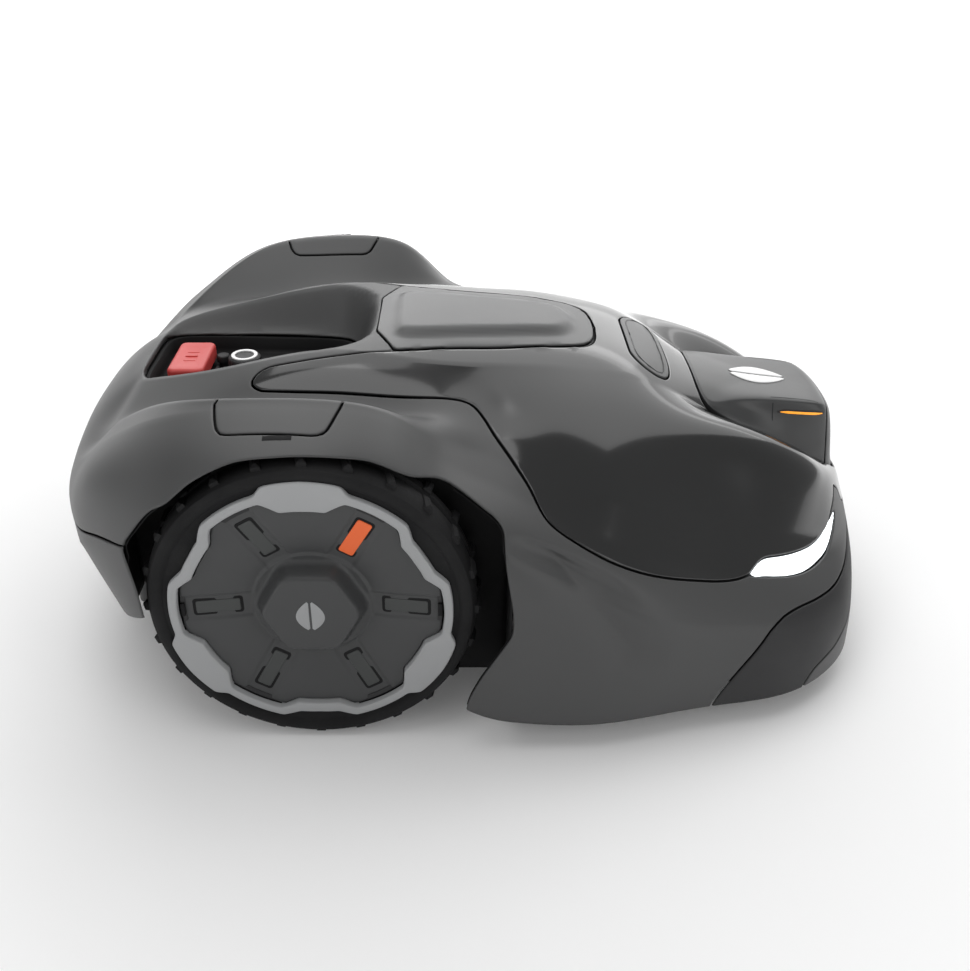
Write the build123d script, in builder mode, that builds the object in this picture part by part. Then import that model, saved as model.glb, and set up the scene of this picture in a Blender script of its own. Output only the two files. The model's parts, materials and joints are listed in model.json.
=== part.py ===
"""Robotic lawn mower: a floating body shell over a sealed chassis, two big geared drive wheels
at the rear, two front casters and a height-adjustable cutting disc with three pivoting blades.

Frame: +X is the front, +Y the mower's left side, +Z up. The origin is on the ground, midway
between the front and rear ends and between the two sides. Millimetres.
"""

import os
from math import cos, radians, sin

from build123d import *

os.makedirs("parts", exist_ok=True)

# ---------------------------------------------------------------- driving dimensions
HALF_LENGTH = 348.0
HALF_WIDTH = 260.0
SKIN = 3.0  # wall of the outer covers
SEAM = 1.2  # gap between neighbouring covers

AXLE_X, AXLE_Z = -121.0, 125.0  # drive wheel centre
TYRE_R = 120.0  # tyre without lugs
LUG_R = 125.0  # tip of the tread lugs, which stand on the ground
TYRE_IN_Y, TYRE_OUT_Y = 200.0, 246.0  # sidewalls
SEAT_R = 96.0  # where the tyre grips the rim
LUG_COUNT = 24
AXLE_R = 6.0
RUNNING = 0.06  # radial clearance of shafts in their bores

CASTER_X, CASTER_Y = 205.0, 120.0  # swivel axes
CASTER_R = 42.0
CASTER_TRAIL = 28.0
STEM_R = 6.0

CUT_X = 45.0  # cutting disc centre
DISC_Z = 59.0  # underside of the disc at the highest cutting setting
DISC_R = 92.0
PIVOT_R = 83.0
BLADE_LENGTH, BLADE_WIDTH = 38.0, 19.0
GUIDE_Y = 48.0  # carriage guide rods, either side of the motor
CUT_SCREW_X = CUT_X + 48.0

TUB_WALL = 3.0
REAR_FLOOR, REAR_TOP = 60.0, 170.0  # battery and motor box
FRONT_FLOOR, FRONT_TOP = 98.0, 140.0  # pan over the cutting disc
LID = 5.0
TUB_Y = 150.0

POSTS = [(-215.0, 105.0), (-215.0, -105.0), (120.0, 105.0), (120.0, -105.0)]
POST_R, POST_TOP = 8.0, 192.0
CUP_R = 15.0

TRAY_TOP = 203.0  # floor of the control recess
STOP_X, DIAL_X = -250.0, -203.0
POWER_X, POWER_Y = -227.0, 20.0


def save(piece, name):
    """Labels a finished piece and writes its STEP file."""
    part = piece.part if isinstance(piece, BuildPart) else piece
    part.label = name
    export_step(part, f"parts/{name}.step")
    return part


def both_sides(points):
    """A closed plan outline from its +Y half, listed from one end of the centre line."""
    return points + [(x, -y) for x, y in reversed(points) if abs(y) > 1e-6]


def opposite(piece):
    """The same piece on the mower's right side."""
    return mirror(piece, about=Plane.XZ)


def plan_prism(outline, z0, z1, grow=0.0):
    """An upright prism over a plan outline, its outline grown all round."""
    with BuildPart() as body:
        with BuildSketch(Plane.XY.offset(z0)):
            with BuildLine():
                Polyline(*outline, close=True)
            make_face()
            if grow:
                offset(amount=grow)
        extrude(amount=z1 - z0)
    return body.part


def side_prism(outline, y0, y1, grow=0.0):
    """A prism over an (x, z) outline, reaching from y0 to y1."""
    with BuildPart() as body:
        with BuildSketch(Plane.XZ.offset(-y1)):
            with BuildLine():
                Polyline(*outline, close=True)
            make_face()
            if grow:
                offset(amount=grow)
        extrude(amount=y1 - y0)
    return body.part


def turned(profile, x=0.0, z=0.0):
    """A solid of revolution about a line along Y; the profile lists (radius, y)."""
    with BuildPart() as body:
        with BuildSketch(Plane.XY):
            with BuildLine():
                Polyline(*profile, close=True)
            make_face()
        revolve(axis=Axis.Y)
    return body.part.moved(Location((x, 0, z)))


def upright(profile, x, y):
    """A solid of revolution about an upright line; the profile lists (radius, z)."""
    with BuildPart() as body:
        with BuildSketch(Plane.XZ):
            with BuildLine():
                Polyline(*profile, close=True)
            make_face()
        revolve(axis=Axis.Z)
    return body.part.moved(Location((x, y, 0)))


def tube(radius, bore, z0, z1, x, y):
    """An upright tube."""
    return upright([(bore, z0), (radius, z0), (radius, z1), (bore, z1)], x, y)


def rod(radius, z0, z1, x, y):
    """An upright round bar."""
    return upright([(0, z0), (radius, z0), (radius, z1), (0, z1)], x, y)


def block(x0, x1, y0, y1, z0, z1, corner=0.0):
    """A box between its limits, its upright edges rounded."""
    with BuildPart() as body:
        with BuildSketch(Plane.XY.offset(z0)):
            with Locations(((x0 + x1) / 2, (y0 + y1) / 2)):
                if corner:
                    RectangleRounded(x1 - x0, y1 - y0, corner)
                else:
                    Rectangle(x1 - x0, y1 - y0)
        extrude(amount=z1 - z0)
    return body.part


# ---------------------------------------------------------------- body envelope
# Cross-sections from rear to front. Each lists (y, z) from the centre line out over the deck
# crest, the valley, the fender ridge and its shoulder, to the top of the side wall.
SECTIONS = {
    -352: [(0, 188), (60, 188), (95, 186), (130, 180), (162, 166), (186, 140)],
    -310: [(0, 214), (62, 217), (96, 213), (122, 211), (172, 200), (214, 165)],
    -245: [(0, 230), (72, 236), (110, 231), (146, 242), (205, 236), (245, 205)],
    -185: [(0, 244), (77, 249), (128, 240), (183, 265), (230, 263), (256, 240)],
    -95: [(0, 260), (86, 255), (134, 238), (190, 266), (232, 263), (257, 242)],
    -45: [(0, 260), (88, 253), (138, 232), (186, 252), (228, 246), (256, 222)],
    5: [(0, 258), (88, 251), (140, 228), (184, 218), (226, 203), (255, 178)],
    60: [(0, 254), (84, 248), (138, 231), (184, 208), (222, 178), (250, 148)],
    130: [(0, 239), (76, 233), (128, 214), (174, 188), (212, 156), (240, 130)],
    200: [(0, 209), (68, 203), (116, 186), (158, 160), (192, 130), (218, 110)],
    270: [(0, 173), (58, 167), (98, 152), (130, 130), (158, 106), (184, 88)],
    325: [(0, 134), (48, 129), (80, 118), (106, 104), (130, 90), (152, 74)],
    352: [(0, 98), (40, 96), (68, 92), (92, 85), (114, 75), (132, 62)],
}
SKIRT_Z = 26.0  # lower edge of the skirt
PLAN_HALF = [(-348, 0), (-344, 70), (-334, 125), (-300, 186), (-252, 236), (-190, 254), (-60, 259),
             (64, 259), (160, 246), (230, 224), (285, 190), (326, 136), (344, 80), (348, 0)]
POCKET = [(24, 172), (78, 158), (128, 138), (152, 76), (34, 76)]  # relief in the skirt, (x, z)
POCKET_Y = 246.0


def envelope(inset):
    """The body's outer form, moved inward by the inset."""
    shrink = 1.0 - inset / HALF_WIDTH
    foot = SKIRT_Z - 4 * inset
    with BuildPart() as form:
        for x, half in SECTIONS.items():
            top = [(y * shrink, z - inset) for y, z in half]
            full = [(-y, z) for y, z in reversed(top)] + top[1:]
            wall = HALF_WIDTH * shrink + 6
            with BuildSketch(Plane.YZ.offset(x)):
                with BuildLine():
                    Spline(*full)
                    Polyline(full[-1], (wall, top[-1][1] - 30), (wall, foot), (-wall, foot),
                             (-wall, top[-1][1] - 30), full[0])
                make_face()
        loft()
    with BuildPart() as plan:
        with BuildSketch(Plane.XY.offset(foot - 1)):
            with BuildLine():
                rim = [(x * (1 - inset / HALF_LENGTH), y * shrink) for x, y in PLAN_HALF]
                Spline(*rim, tangents=[(0, 1), (0, -1)])
                mirror(about=Plane.XZ)
            make_face()
        extrude(amount=300)
    whole = form.part & plan.part
    lift = inset / 2
    relief = [(x, z) for x, z in POCKET]
    for side in (1, -1):
        y0, y1 = sorted((side * (POCKET_Y - inset), side * 300))
        whole -= side_prism(relief, y0, y1, lift)
    return whole


# ---------------------------------------------------------------- cover outlines, in plan
HATCH = both_sides([(-82, 0), (-82, 38), (-65, 70), (70, 48), (92, 40), (103, 22), (106, 0)])
HOOD_SIDE = [(-177, 110), (-120, 117), (-63, 122), (-4, 124), (14, 160), (30, 190), (52, 213),
             (84, 223), (122, 224), (172, 209), (206, 194), (250, 166), (284, 134), (322, 74),
             (340, 0)]
HOOD_INNER = [(109, 0), (106, 24), (94, 43), (71, 51), (-66, 73), (-84, 78), (-130, 92)]
HOOD = HOOD_SIDE + [(x, -y) for x, y in reversed(HOOD_SIDE[:-1])]
HOOD += [(x, -y) for x, y in reversed(HOOD_INNER)] + HOOD_INNER[1:]
RECESS = both_sides([(-292, 0), (-288, 44), (-262, 62), (-190, 60), (-140, 40), (-108, 0)])
FENDER_CAP = [(-183, 183), (-98, 186), (-104, 205), (-118, 226), (-128, 230), (-172, 230),
              (-180, 224)]
FENDER_CAP_INNER = [(-187, 183), (-98, 187), (-112, 166), (-170, 164)]
MODULE = both_sides([(184, 0), (187, 16), (200, 44), (229, 50), (274, 68), (312, 60), (322, 30),
                     (324, 0)])
BADGE = both_sides([(134, 0), (137, 33), (166, 50), (158, 22), (155, 0)])

# The wheel arch and the seams that show on the side, as (x, z).
ARCH = [(-254, 0), (-254, 168), (-250, 184), (-235, 206), (-222, 221), (-200, 241), (-179, 253),
        (-162, 256), (-81, 256), (-59, 249), (-35, 237), (9, 212), (17.5, 202), (20, 169), (27, 118),
        (20, 102), (1, 67), (-8, 36), (-10, 0)]
REAR_SKIRT = [(-360, 117), (-334, 119), (-290, 134), (-254, 151), (-240, 155), (-240, 112), (-254, 100),
              (-275, 88), (-360, 84)]
REAR_OPEN = [(-360, 0), (-360, 84), (-275, 88), (-254, 100), (-240, 112), (-240, 0)]
MODULE_SIDE = [(180, 100), (180, 223), (190, 221), (267, 197), (316, 184), (326, 177), (326, 100)]
LINER = [(-262, 45), (-262, 268), (26, 268), (26, 45)]
BUMPER = [(190, 0), (190, 24), (252, 74), (289, 65), (313, 66), (360, 73), (360, 0)]
HEADLIGHT = [(216, 112), (274, 93), (322, 103), (308, 92), (264, 78), (224, 96)]

print("covers")
outer = envelope(0.0)
inner = envelope(SKIN)
skin = outer - inner

# ---------------------------------------------------------------- covers
for side in (1, -1):
    y0, y1 = sorted((side * 192.0, side * 300.0))
    skin -= side_prism(ARCH, y0, y1)
skin -= plan_prism(RECESS, 150, 300)
skin -= side_prism(REAR_OPEN, -300, 300)

hatch_zone = plan_prism(HATCH, 200, 300)
hatch_gap = plan_prism(HATCH, 200, 300, SEAM)
hood_zone = plan_prism(HOOD, 84, 300)
hood_gap = plan_prism(HOOD, 84, 300, SEAM)
module_gap = plan_prism(MODULE, 100, 300, SEAM)
lamp_zones = []
lamp_gaps = []
for side in (1, -1):
    y0, y1 = sorted((side * 58.0, side * 230.0))
    lamp_zones.append(side_prism(HEADLIGHT, y0, y1))
    lamp_gaps.append(side_prism(HEADLIGHT, y0, y1, SEAM))
bumper_zone = side_prism(BUMPER, -300, 300)
bumper_gap = side_prism(BUMPER, -300, 300, SEAM)
rear_zone = side_prism(REAR_SKIRT, -300, 300)
rear_gap = side_prism(REAR_SKIRT, -300, 300, SEAM)

bosses = []
for x, y in POSTS:
    bosses.append(rod(10.0, POST_TOP + 4.6, 262, x, y) & outer)

hood = (skin & hood_zone) - module_gap
for gap in lamp_gaps:
    hood -= gap
badge_gap = plan_prism(BADGE, 150, 300, 0.5)
badge = skin & plan_prism(BADGE, 150, 300)
hood -= badge_gap
hood += bosses[2]
hood += bosses[3]
save(hood, "hood")
save(badge, "name_plate")

lamps = (skin & lamp_zones[0]) + (skin & lamp_zones[1])
save(lamps, "headlights")

hatch = skin & hatch_zone
with BuildPart() as hatch_plateau:
    with BuildSketch(Plane.XY.offset(249)):
        with BuildLine():
            Polyline(*both_sides([(-66, 0), (-66, 34), (-52, 50), (60, 34), (78, 20), (82, 0)]), close=True)
        make_face()
    extrude(amount=10, taper=30)
hatch += hatch_plateau.part
save(hatch, "top_hatch")

pad = skin & bumper_zone
insert_zone = block(300, 360, -78, 78, 10, 48)
insert_gap = block(299, 361, -79, 79, 9, 49)
save(pad & insert_zone, "bumper_insert")
save(pad - insert_gap, "bumper_pad")

rear_skirt = skin & rear_zone
save(rear_skirt, "rear_skirt")

body = skin - hatch_gap - hood_gap - bumper_gap - rear_gap
for gap in lamp_gaps:
    body -= gap
hub_space = turned([(0, -200), (42, -200), (42, 200), (0, 200)], AXLE_X, AXLE_Z)
for side in (1, -1):
    near, far = sorted((side * 190.0, side * 192.5))
    liner = side_prism(LINER, near, far)
    near, far = sorted((side * 190.0, side * 262.0))
    liner += block(24, 26.5, near, far, 34, 240)
    liner += block(-262, -259.5, near, far, 112, 230)
    liner -= hub_space
    liner -= rear_gap
    body += liner & outer
for name, side in (("left", 1), ("right", -1)):
    cap_plan = [(x, side * y) for x, y in FENDER_CAP]
    inner_plan = [(x, side * y) for x, y in FENDER_CAP_INNER]
    cap = (skin & plan_prism(cap_plan, 200, 300)) + (skin & plan_prism(inner_plan, 200, 300))
    save(cap, f"fender_cap_{name}")
    body = body - plan_prism(cap_plan, 200, 300, SEAM) - plan_prism(inner_plan, 200, 300, SEAM)
body += bosses[0]
body += bosses[1]
save(body, "body_shell")
print("body pieces", len(body.solids()), "hood", len(hood.solids()))

# ---------------------------------------------------------------- front sensor module
under = [(x, z - SKIN) for x, z in MODULE_SIDE]
raised = plan_prism(MODULE, 100, 300) & side_prism(MODULE_SIDE, -100, 100)
module = raised - (plan_prism(MODULE, 90, 300, -SKIN) & side_prism(under, -100, 100))
module -= outer.moved(Location((0, 0, -SKIN)))
marker_zones = [block(270, 306, 57, 90, 171, 300), block(270, 306, -90, -57, 171, 300)]
markers = None
for zone in marker_zones:
    strip = module & zone
    markers = strip if markers is None else markers + strip
    module -= zone
save(module, "sensor_module")
save(markers, "marker_lights")
with BuildPart() as emblem_zone:
    with BuildSketch(Plane.XY.offset(150)):
        with Locations((262, 0)):
            RegularPolygon(11, 6)
            RegularPolygon(7, 6, mode=Mode.SUBTRACT)
    extrude(amount=80)
above = [(x, z + 1.2) for x, z in MODULE_SIDE]
emblem = (emblem_zone.part & side_prism(above, -100, 100)) - side_prism(MODULE_SIDE, -100, 100)
save(emblem, "emblem")

# ---------------------------------------------------------------- control recess
tray = plan_prism(RECESS, TRAY_TOP - 3, 260, -0.6) & outer
tray -= plan_prism(RECESS, TRAY_TOP, 300, -2.6)
for radius, x, y in ((9.0, STOP_X, 0), (4.0 + RUNNING, DIAL_X, 0), (5.0, POWER_X, POWER_Y), (4.0, -168, 0)):
    tray -= rod(radius, TRAY_TOP - 15, TRAY_TOP + 10, x, y)
save(tray, "control_panel")
save(rod(4.0, TRAY_TOP - 3, TRAY_TOP + 2, -168, 0), "status_light")

with BuildPart() as stop_button:
    with BuildSketch(Plane.XY.offset(TRAY_TOP + 6)):
        with Locations((STOP_X, 0)):
            RectangleRounded(32, 62, 6)
    extrude(amount=12)
    fillet(stop_button.faces().sort_by(Axis.Z)[-1].edges(), 3)
    with BuildSketch(Plane.XY.offset(TRAY_TOP - 8)):
        with Locations((STOP_X, 0)):
            Circle(8.4)
    extrude(amount=14)
save(stop_button, "stop_button")

T = TRAY_TOP
dial = upright([(0, T - 9), (4, T - 9), (4, T + 0.6), (15, T + 0.6), (14.5, T + 16), (13, T + 18),
                (11.5, T + 18), (11.5, T + 16), (0, T + 16)], DIAL_X, 0)
ring = upright([(8.5, T + 16), (11.5, T + 16), (11.5, T + 19), (8.5, T + 19)], DIAL_X, 0)
save(dial, "mode_dial")
save(ring, "dial_ring")
knob = upright([(0, T - 9), (4.4, T - 9), (4.4, T + 4), (6, T + 4), (6, T + 9), (5, T + 10), (0, T + 10)],
               POWER_X, POWER_Y)
save(knob, "power_button")

# ---------------------------------------------------------------- chassis
print("chassis")
FRONT_PLAN = both_sides([(-82, 0), (-82, TUB_Y), (160, TUB_Y), (228, 142), (242, 112), (246, 0)])
tub = block(-285, -80, -TUB_Y, TUB_Y, REAR_FLOOR, REAR_TOP, 14)
tub -= block(-285 + TUB_WALL, -80 - TUB_WALL, TUB_WALL - TUB_Y, TUB_Y - TUB_WALL, REAR_FLOOR + TUB_WALL,
             REAR_TOP + 1, 11)
pan = plan_prism(FRONT_PLAN, FRONT_FLOOR, FRONT_TOP)
pan -= plan_prism(FRONT_PLAN, FRONT_FLOOR + TUB_WALL, FRONT_TOP + 1, -TUB_WALL)
pan += rod(65, FRONT_FLOOR, FRONT_TOP, CUT_X, 0)
pan -= rod(62, FRONT_FLOOR - 1, FRONT_TOP + 1, CUT_X, 0)
for side in (1, -1):
    pan += rod(14, FRONT_FLOOR, FRONT_TOP, CASTER_X, side * CASTER_Y)
    pan -= rod(STEM_R + RUNNING, FRONT_FLOOR - 1, FRONT_TOP - 4, CASTER_X, side * CASTER_Y)
tub += pan
tub -= turned([(0, -200), (16, -200), (16, 200), (0, 200)], AXLE_X, AXLE_Z)
save(tub, "chassis_tub")

rear_lid = block(-285, -80, -TUB_Y, TUB_Y, REAR_TOP, REAR_TOP + LID, 14)
front_plan = both_sides([(-79, 0), (-79, TUB_Y), (160, TUB_Y), (228, 142), (242, 112), (246, 0)])
front_lid = plan_prism(front_plan, FRONT_TOP, FRONT_TOP + LID)
front_lid -= rod(3.5, FRONT_TOP - 1, FRONT_TOP + LID + 1, CUT_SCREW_X, 0)
ribs = None
for x in (-40, 0, 170):
    rib = block(x - 2, x + 2, -128, 128, FRONT_TOP + LID, FRONT_TOP + LID + 8)
    ribs = rib if ribs is None else ribs + rib
front_lid += ribs
save(Compound(children=[rear_lid, front_lid]), "chassis_deck")

SCREW_SPOTS = [(x, side * 142, REAR_TOP + LID) for x in (-270, -182, -96) for side in (1, -1)]
SCREW_SPOTS += [(x, side * 142, FRONT_TOP + LID) for x in (-66, 60, 150) for side in (1, -1)]
SCREW_SPOTS += [(238, side * 60, FRONT_TOP + LID) for side in (1, -1)]
screws = [upright([(0, z), (4, z), (4, z + 2), (3, z + 3), (1.8, z + 3), (1.8, z + 1.4), (0, z + 1.4)], x, y)
          for x, y, z in SCREW_SPOTS]
save(Compound(children=screws), "chassis_screws")

battery = block(-276, -168, -72, 72, REAR_FLOOR + TUB_WALL, 132, 6)
battery += block(-240, -204, -30, 30, 132, 138, 3)
save(battery, "battery_pack")

board = block(120, 222, -72, 72, 108, 109.6, 4)
CHIPS = [(150, 20, 24, 24, 3), (190, -30, 16, 22, 6), (150, -40, 12, 12, 10), (205, 40, 14, 30, 9)]
for x, y, sx, sy, h in CHIPS:
    board += block(x - sx / 2, x + sx / 2, y - sy / 2, y + sy / 2, 109.6, 109.6 + h, 1)
for x in (128, 214):
    for y in (-64, 64):
        board += rod(4, FRONT_FLOOR + TUB_WALL, 108, x, y)
save(board, "main_board")

motor = turned([(0, 62), (30, 62), (30, 112), (34, 112), (34, 140), (15, 140), (15, 172),
                (AXLE_R + RUNNING, 172), (AXLE_R + RUNNING, 134), (0, 134)], AXLE_X, AXLE_Z)
save(motor, "drive_motor_left")
save(opposite(motor), "drive_motor_right")

posts = []
for x, y in POSTS:
    base = (REAR_TOP if x < 0 else FRONT_TOP) + LID
    posts.append(upright([(0, base), (13, base), (13, base + 2), (POST_R, base + 3), (POST_R, POST_TOP - 2),
                          (POST_R - 2, POST_TOP), (0, POST_TOP)], x, y))
save(Compound(children=posts), "float_posts")

frame = None
for x, y in POSTS:
    cup = upright([(0, POST_TOP + 1.5), (CUP_R, POST_TOP + 1.5), (CUP_R, POST_TOP - 11),
                   (CUP_R + 3, POST_TOP - 11), (CUP_R + 3, POST_TOP + 4), (0, POST_TOP + 4)], x, y)
    frame = cup if frame is None else frame + cup
for side in (1, -1):
    bar = block(-215, 120, side * 105 - 5, side * 105 + 5, POST_TOP - 2, POST_TOP + 4)
    for x in (-215, 120):
        bar -= rod(CUP_R + 1, POST_TOP - 12, POST_TOP + 8, x, side * 105)
    frame += bar
for x in (-85, 100):
    frame += block(x - 5, x + 5, -105, 105, POST_TOP - 2, POST_TOP + 4)
save(frame, "float_sockets")

contacts = [block(226, 240, side * 40 - 12, side * 40 + 12, FRONT_FLOOR - 1.2, FRONT_FLOOR, 2)
            for side in (1, -1)]
save(Compound(children=contacts), "charge_contacts")

rods = [rod(5, 68, FRONT_TOP, CUT_X, side * GUIDE_Y) for side in (1, -1)]
save(Compound(children=rods), "height_guide_rods")
lift = block(CUT_SCREW_X - 18, CUT_SCREW_X + 18, -16, 16, FRONT_TOP + LID, 172, 5)
lift += rod(3, 68, FRONT_TOP + LID, CUT_SCREW_X, 0)
save(lift, "height_motor")

# ---------------------------------------------------------------- cutting unit
print("cutter")
carriage = upright([(33.5, 112), (58.5, 112), (58.5, 117), (36.5, 117), (36.5, 126), (33.5, 126)], CUT_X, 0)
for side in (1, -1):
    carriage += rod(9, 106, 124, CUT_X, side * GUIDE_Y)
    carriage -= rod(5 + RUNNING, 100, 130, CUT_X, side * GUIDE_Y)
carriage += rod(7, 108, 120, CUT_SCREW_X, 0)
carriage -= rod(3 + 0.4, 100, 130, CUT_SCREW_X, 0)
save(carriage, "motor_carriage")

blade_motor = upright([(0, 90), (4 + RUNNING, 90), (4 + RUNNING, 70), (12, 70), (12, 74), (30, 74), (32, 76),
                       (32, 112), (33.5, 112), (33.5, 126), (30, 130), (0, 130)], CUT_X, 0)
save(blade_motor, "blade_motor")

disc = upright([(0, 46.5), (6, 46.5), (8, 48), (8, 56), (20, DISC_Z), (DISC_R, DISC_Z), (DISC_R, DISC_Z + 3),
                (20, DISC_Z + 3), (12, 68), (4, 68), (4, 88), (0, 88)], CUT_X, 0)
blade_screws = []
for k in range(3):
    a = radians(90 + 120 * k)
    px, py = CUT_X + PIVOT_R * cos(a), PIVOT_R * sin(a)
    screw = upright([(0, 53.6), (4.5, 53.6), (4.5, 56), (2.5, 56), (2.5, DISC_Z), (0, DISC_Z)], px, py)
    blade_screws.append(screw)
    with BuildPart() as blade:
        with BuildSketch(Plane.XY.offset(56.6)):
            with Locations((0, BLADE_LENGTH / 2 - 7)):
                RectangleRounded(BLADE_WIDTH, BLADE_LENGTH, 2.5)
            Circle(2.5 + RUNNING, mode=Mode.SUBTRACT)
            with Locations((0, BLADE_LENGTH - 18)):
                RectangleRounded(6, 10, 2.9, mode=Mode.SUBTRACT)
        extrude(amount=0.9)
    placed = blade.part.moved(Location((px, py, 0), (0, 0, 120 * k)))
    save(placed, f"blade_{k + 1}")
for k in range(6):
    a = radians(30 + 60 * k)
    disc -= rod(9, DISC_Z - 1, DISC_Z + 4, CUT_X + 50 * cos(a), 50 * sin(a))
save(disc, "blade_disc")
save(Compound(children=blade_screws), "blade_screws")
skid = upright([(8 + RUNNING, 47.4), (70, 47.4), (86, 50.4), (86, 52), (70, 49.4), (8 + RUNNING, 49.4)],
               CUT_X, 0)
save(skid, "skid_plate")

# ---------------------------------------------------------------- drive wheels
print("wheels")
mid = (TYRE_IN_Y + TYRE_OUT_Y) / 2


def polar(radius, degrees):
    return (radius * cos(radians(degrees)), radius * sin(radians(degrees)))


def facing(points, y0, y1):
    """A plate facing sideways over an (x, z) outline given about the wheel centre."""
    return side_prism([(AXLE_X + x, AXLE_Z + z) for x, z in points], y0, y1)


tyre = turned([(SEAT_R, TYRE_IN_Y + 5), (103, TYRE_IN_Y), (113, TYRE_IN_Y), (118.4, TYRE_IN_Y + 5),
               (TYRE_R, TYRE_IN_Y + 13), (TYRE_R, TYRE_OUT_Y - 13), (118.6, TYRE_OUT_Y - 5),
               (115, TYRE_OUT_Y - 1.5), (112, TYRE_OUT_Y - 5), (SEAT_R, TYRE_OUT_Y - 5)], AXLE_X, AXLE_Z)
tip = LUG_R / cos(radians(1.2))
for k in range(2 * LUG_COUNT):
    a = 360.0 / LUG_COUNT * (k // 2)
    near, far = (TYRE_IN_Y + 3, mid - 4) if k % 2 else (mid + 4, TYRE_OUT_Y - 3)
    tyre += facing([polar(116, a - 2.2), polar(tip, a - 1.2), polar(tip, a + 1.2), polar(116, a + 2.2)],
                   near, far)
rim = turned([(AXLE_R, 178), (20, 178), (22, 206), (80, 214), (88, 206), (88, 203), (94, 203),
              (SEAT_R, TYRE_IN_Y + 5), (SEAT_R, TYRE_OUT_Y - 5), (93, TYRE_OUT_Y - 6), (90, 226), (80, 220),
              (22, 214), (20, 222), (AXLE_R, 222)], AXLE_X, AXLE_Z)
axle = turned([(0, 136), (AXLE_R, 136), (AXLE_R, 224), (0, 224)], AXLE_X, AXLE_Z)

outline = []
hole = []
for k in range(3):
    c = 90 + 120 * k
    outline += [polar(104.5, c - 17.7), polar(110.5, c - 14.3), polar(111, c), polar(110.5, c + 14.3),
                polar(104.5, c + 17.7), polar(104.5, c + 44)]
    outline += [polar(98, c + 50.5), polar(97.2, c + 60), polar(98, c + 69.5), polar(104.5, c + 76)]
    hole += [polar(98.5, c - 17.5), polar(88, c - 11), polar(87.5, c), polar(88, c + 11),
             polar(98.5, c + 17.5), polar(98, c + 43), polar(89, c + 49.5), polar(88.5, c + 60),
             polar(89, c + 70.5), polar(98, c + 77)]
trim = facing(outline, TYRE_OUT_Y - 5, TYRE_OUT_Y + 0.6) - facing(hole, TYRE_OUT_Y - 9, TYRE_OUT_Y + 2)

cap = turned([(0, 224.2), (80, 224.2), (89, 229), (89, TYRE_OUT_Y - 6.5), (86, TYRE_OUT_Y - 6.5), (83, 234),
              (40, 236), (0, 236)], AXLE_X, AXLE_Z)
hexagon = []
for k in range(6):
    hexagon += [polar(36, 60 * k - 9), polar(36, 60 * k + 9)]
cap += facing(hexagon, 234, TYRE_OUT_Y + 4)
inserts = []
for k in range(6):
    a = 60 * k
    with BuildPart() as slot:
        with BuildSketch(Plane.XZ.offset(-238)):
            with Locations(Location(polar(70, a), a)):
                RectangleRounded(35, 10.5, 4)
        extrude(amount=6)
    placed = slot.part.moved(Location((AXLE_X, 0, AXLE_Z)))
    cap -= placed
    inserts.append(placed)
orange = inserts.pop(1)
spokes = Compound(children=inserts)

WHEEL = [(tyre, "tyre"), (rim, "wheel_rim"), (axle, "axle"), (trim, "trim_ring"), (cap, "wheel_cap"),
         (spokes, "cap_inserts"), (orange, "cap_accent")]
for piece, name in WHEEL:
    save(piece, f"{name}_left")
    save(opposite(piece), f"{name}_right")

# ---------------------------------------------------------------- front casters
print("casters")
wheel_x = CASTER_X - CASTER_TRAIL
for name, side in (("left", 1), ("right", -1)):
    cy = side * CASTER_Y
    fork = rod(STEM_R, 90, FRONT_TOP - 8, CASTER_X, cy)
    fork += rod(13, 88, 96.5, CASTER_X, cy)
    fork += block(wheel_x - 14, CASTER_X + 8, cy - 18, cy + 18, 87, 94, 6)
    for leg in (-16, 16):
        fork += side_prism([(wheel_x - 14, 94), (wheel_x + 20, 94), (wheel_x + 10, 34), (wheel_x, 30),
                            (wheel_x - 10, 34)], cy + leg - 2, cy + leg + 2)
    fork += turned([(0, -18), (4, -18), (4, 18), (0, 18)], wheel_x, CASTER_R).moved(Location((0, cy, 0)))
    save(fork, f"caster_fork_{name}")
    hub = turned([(4 + RUNNING, -12), (12, -12), (12, -4), (30, -4), (30, -10), (34, -10), (34, 10), (30, 10),
                  (30, 4), (12, 4), (12, 12), (4 + RUNNING, 12)], wheel_x, CASTER_R)
    save(hub.moved(Location((0, cy, 0))), f"caster_rim_{name}")
    tread = turned([(34, -10), (38, -12), (41, -9), (CASTER_R, -4), (CASTER_R, 4), (41, 9), (38, 12),
                    (34, 10)], wheel_x, CASTER_R)
    save(tread.moved(Location((0, cy, 0))), f"caster_tyre_{name}")
print("done")
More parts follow.
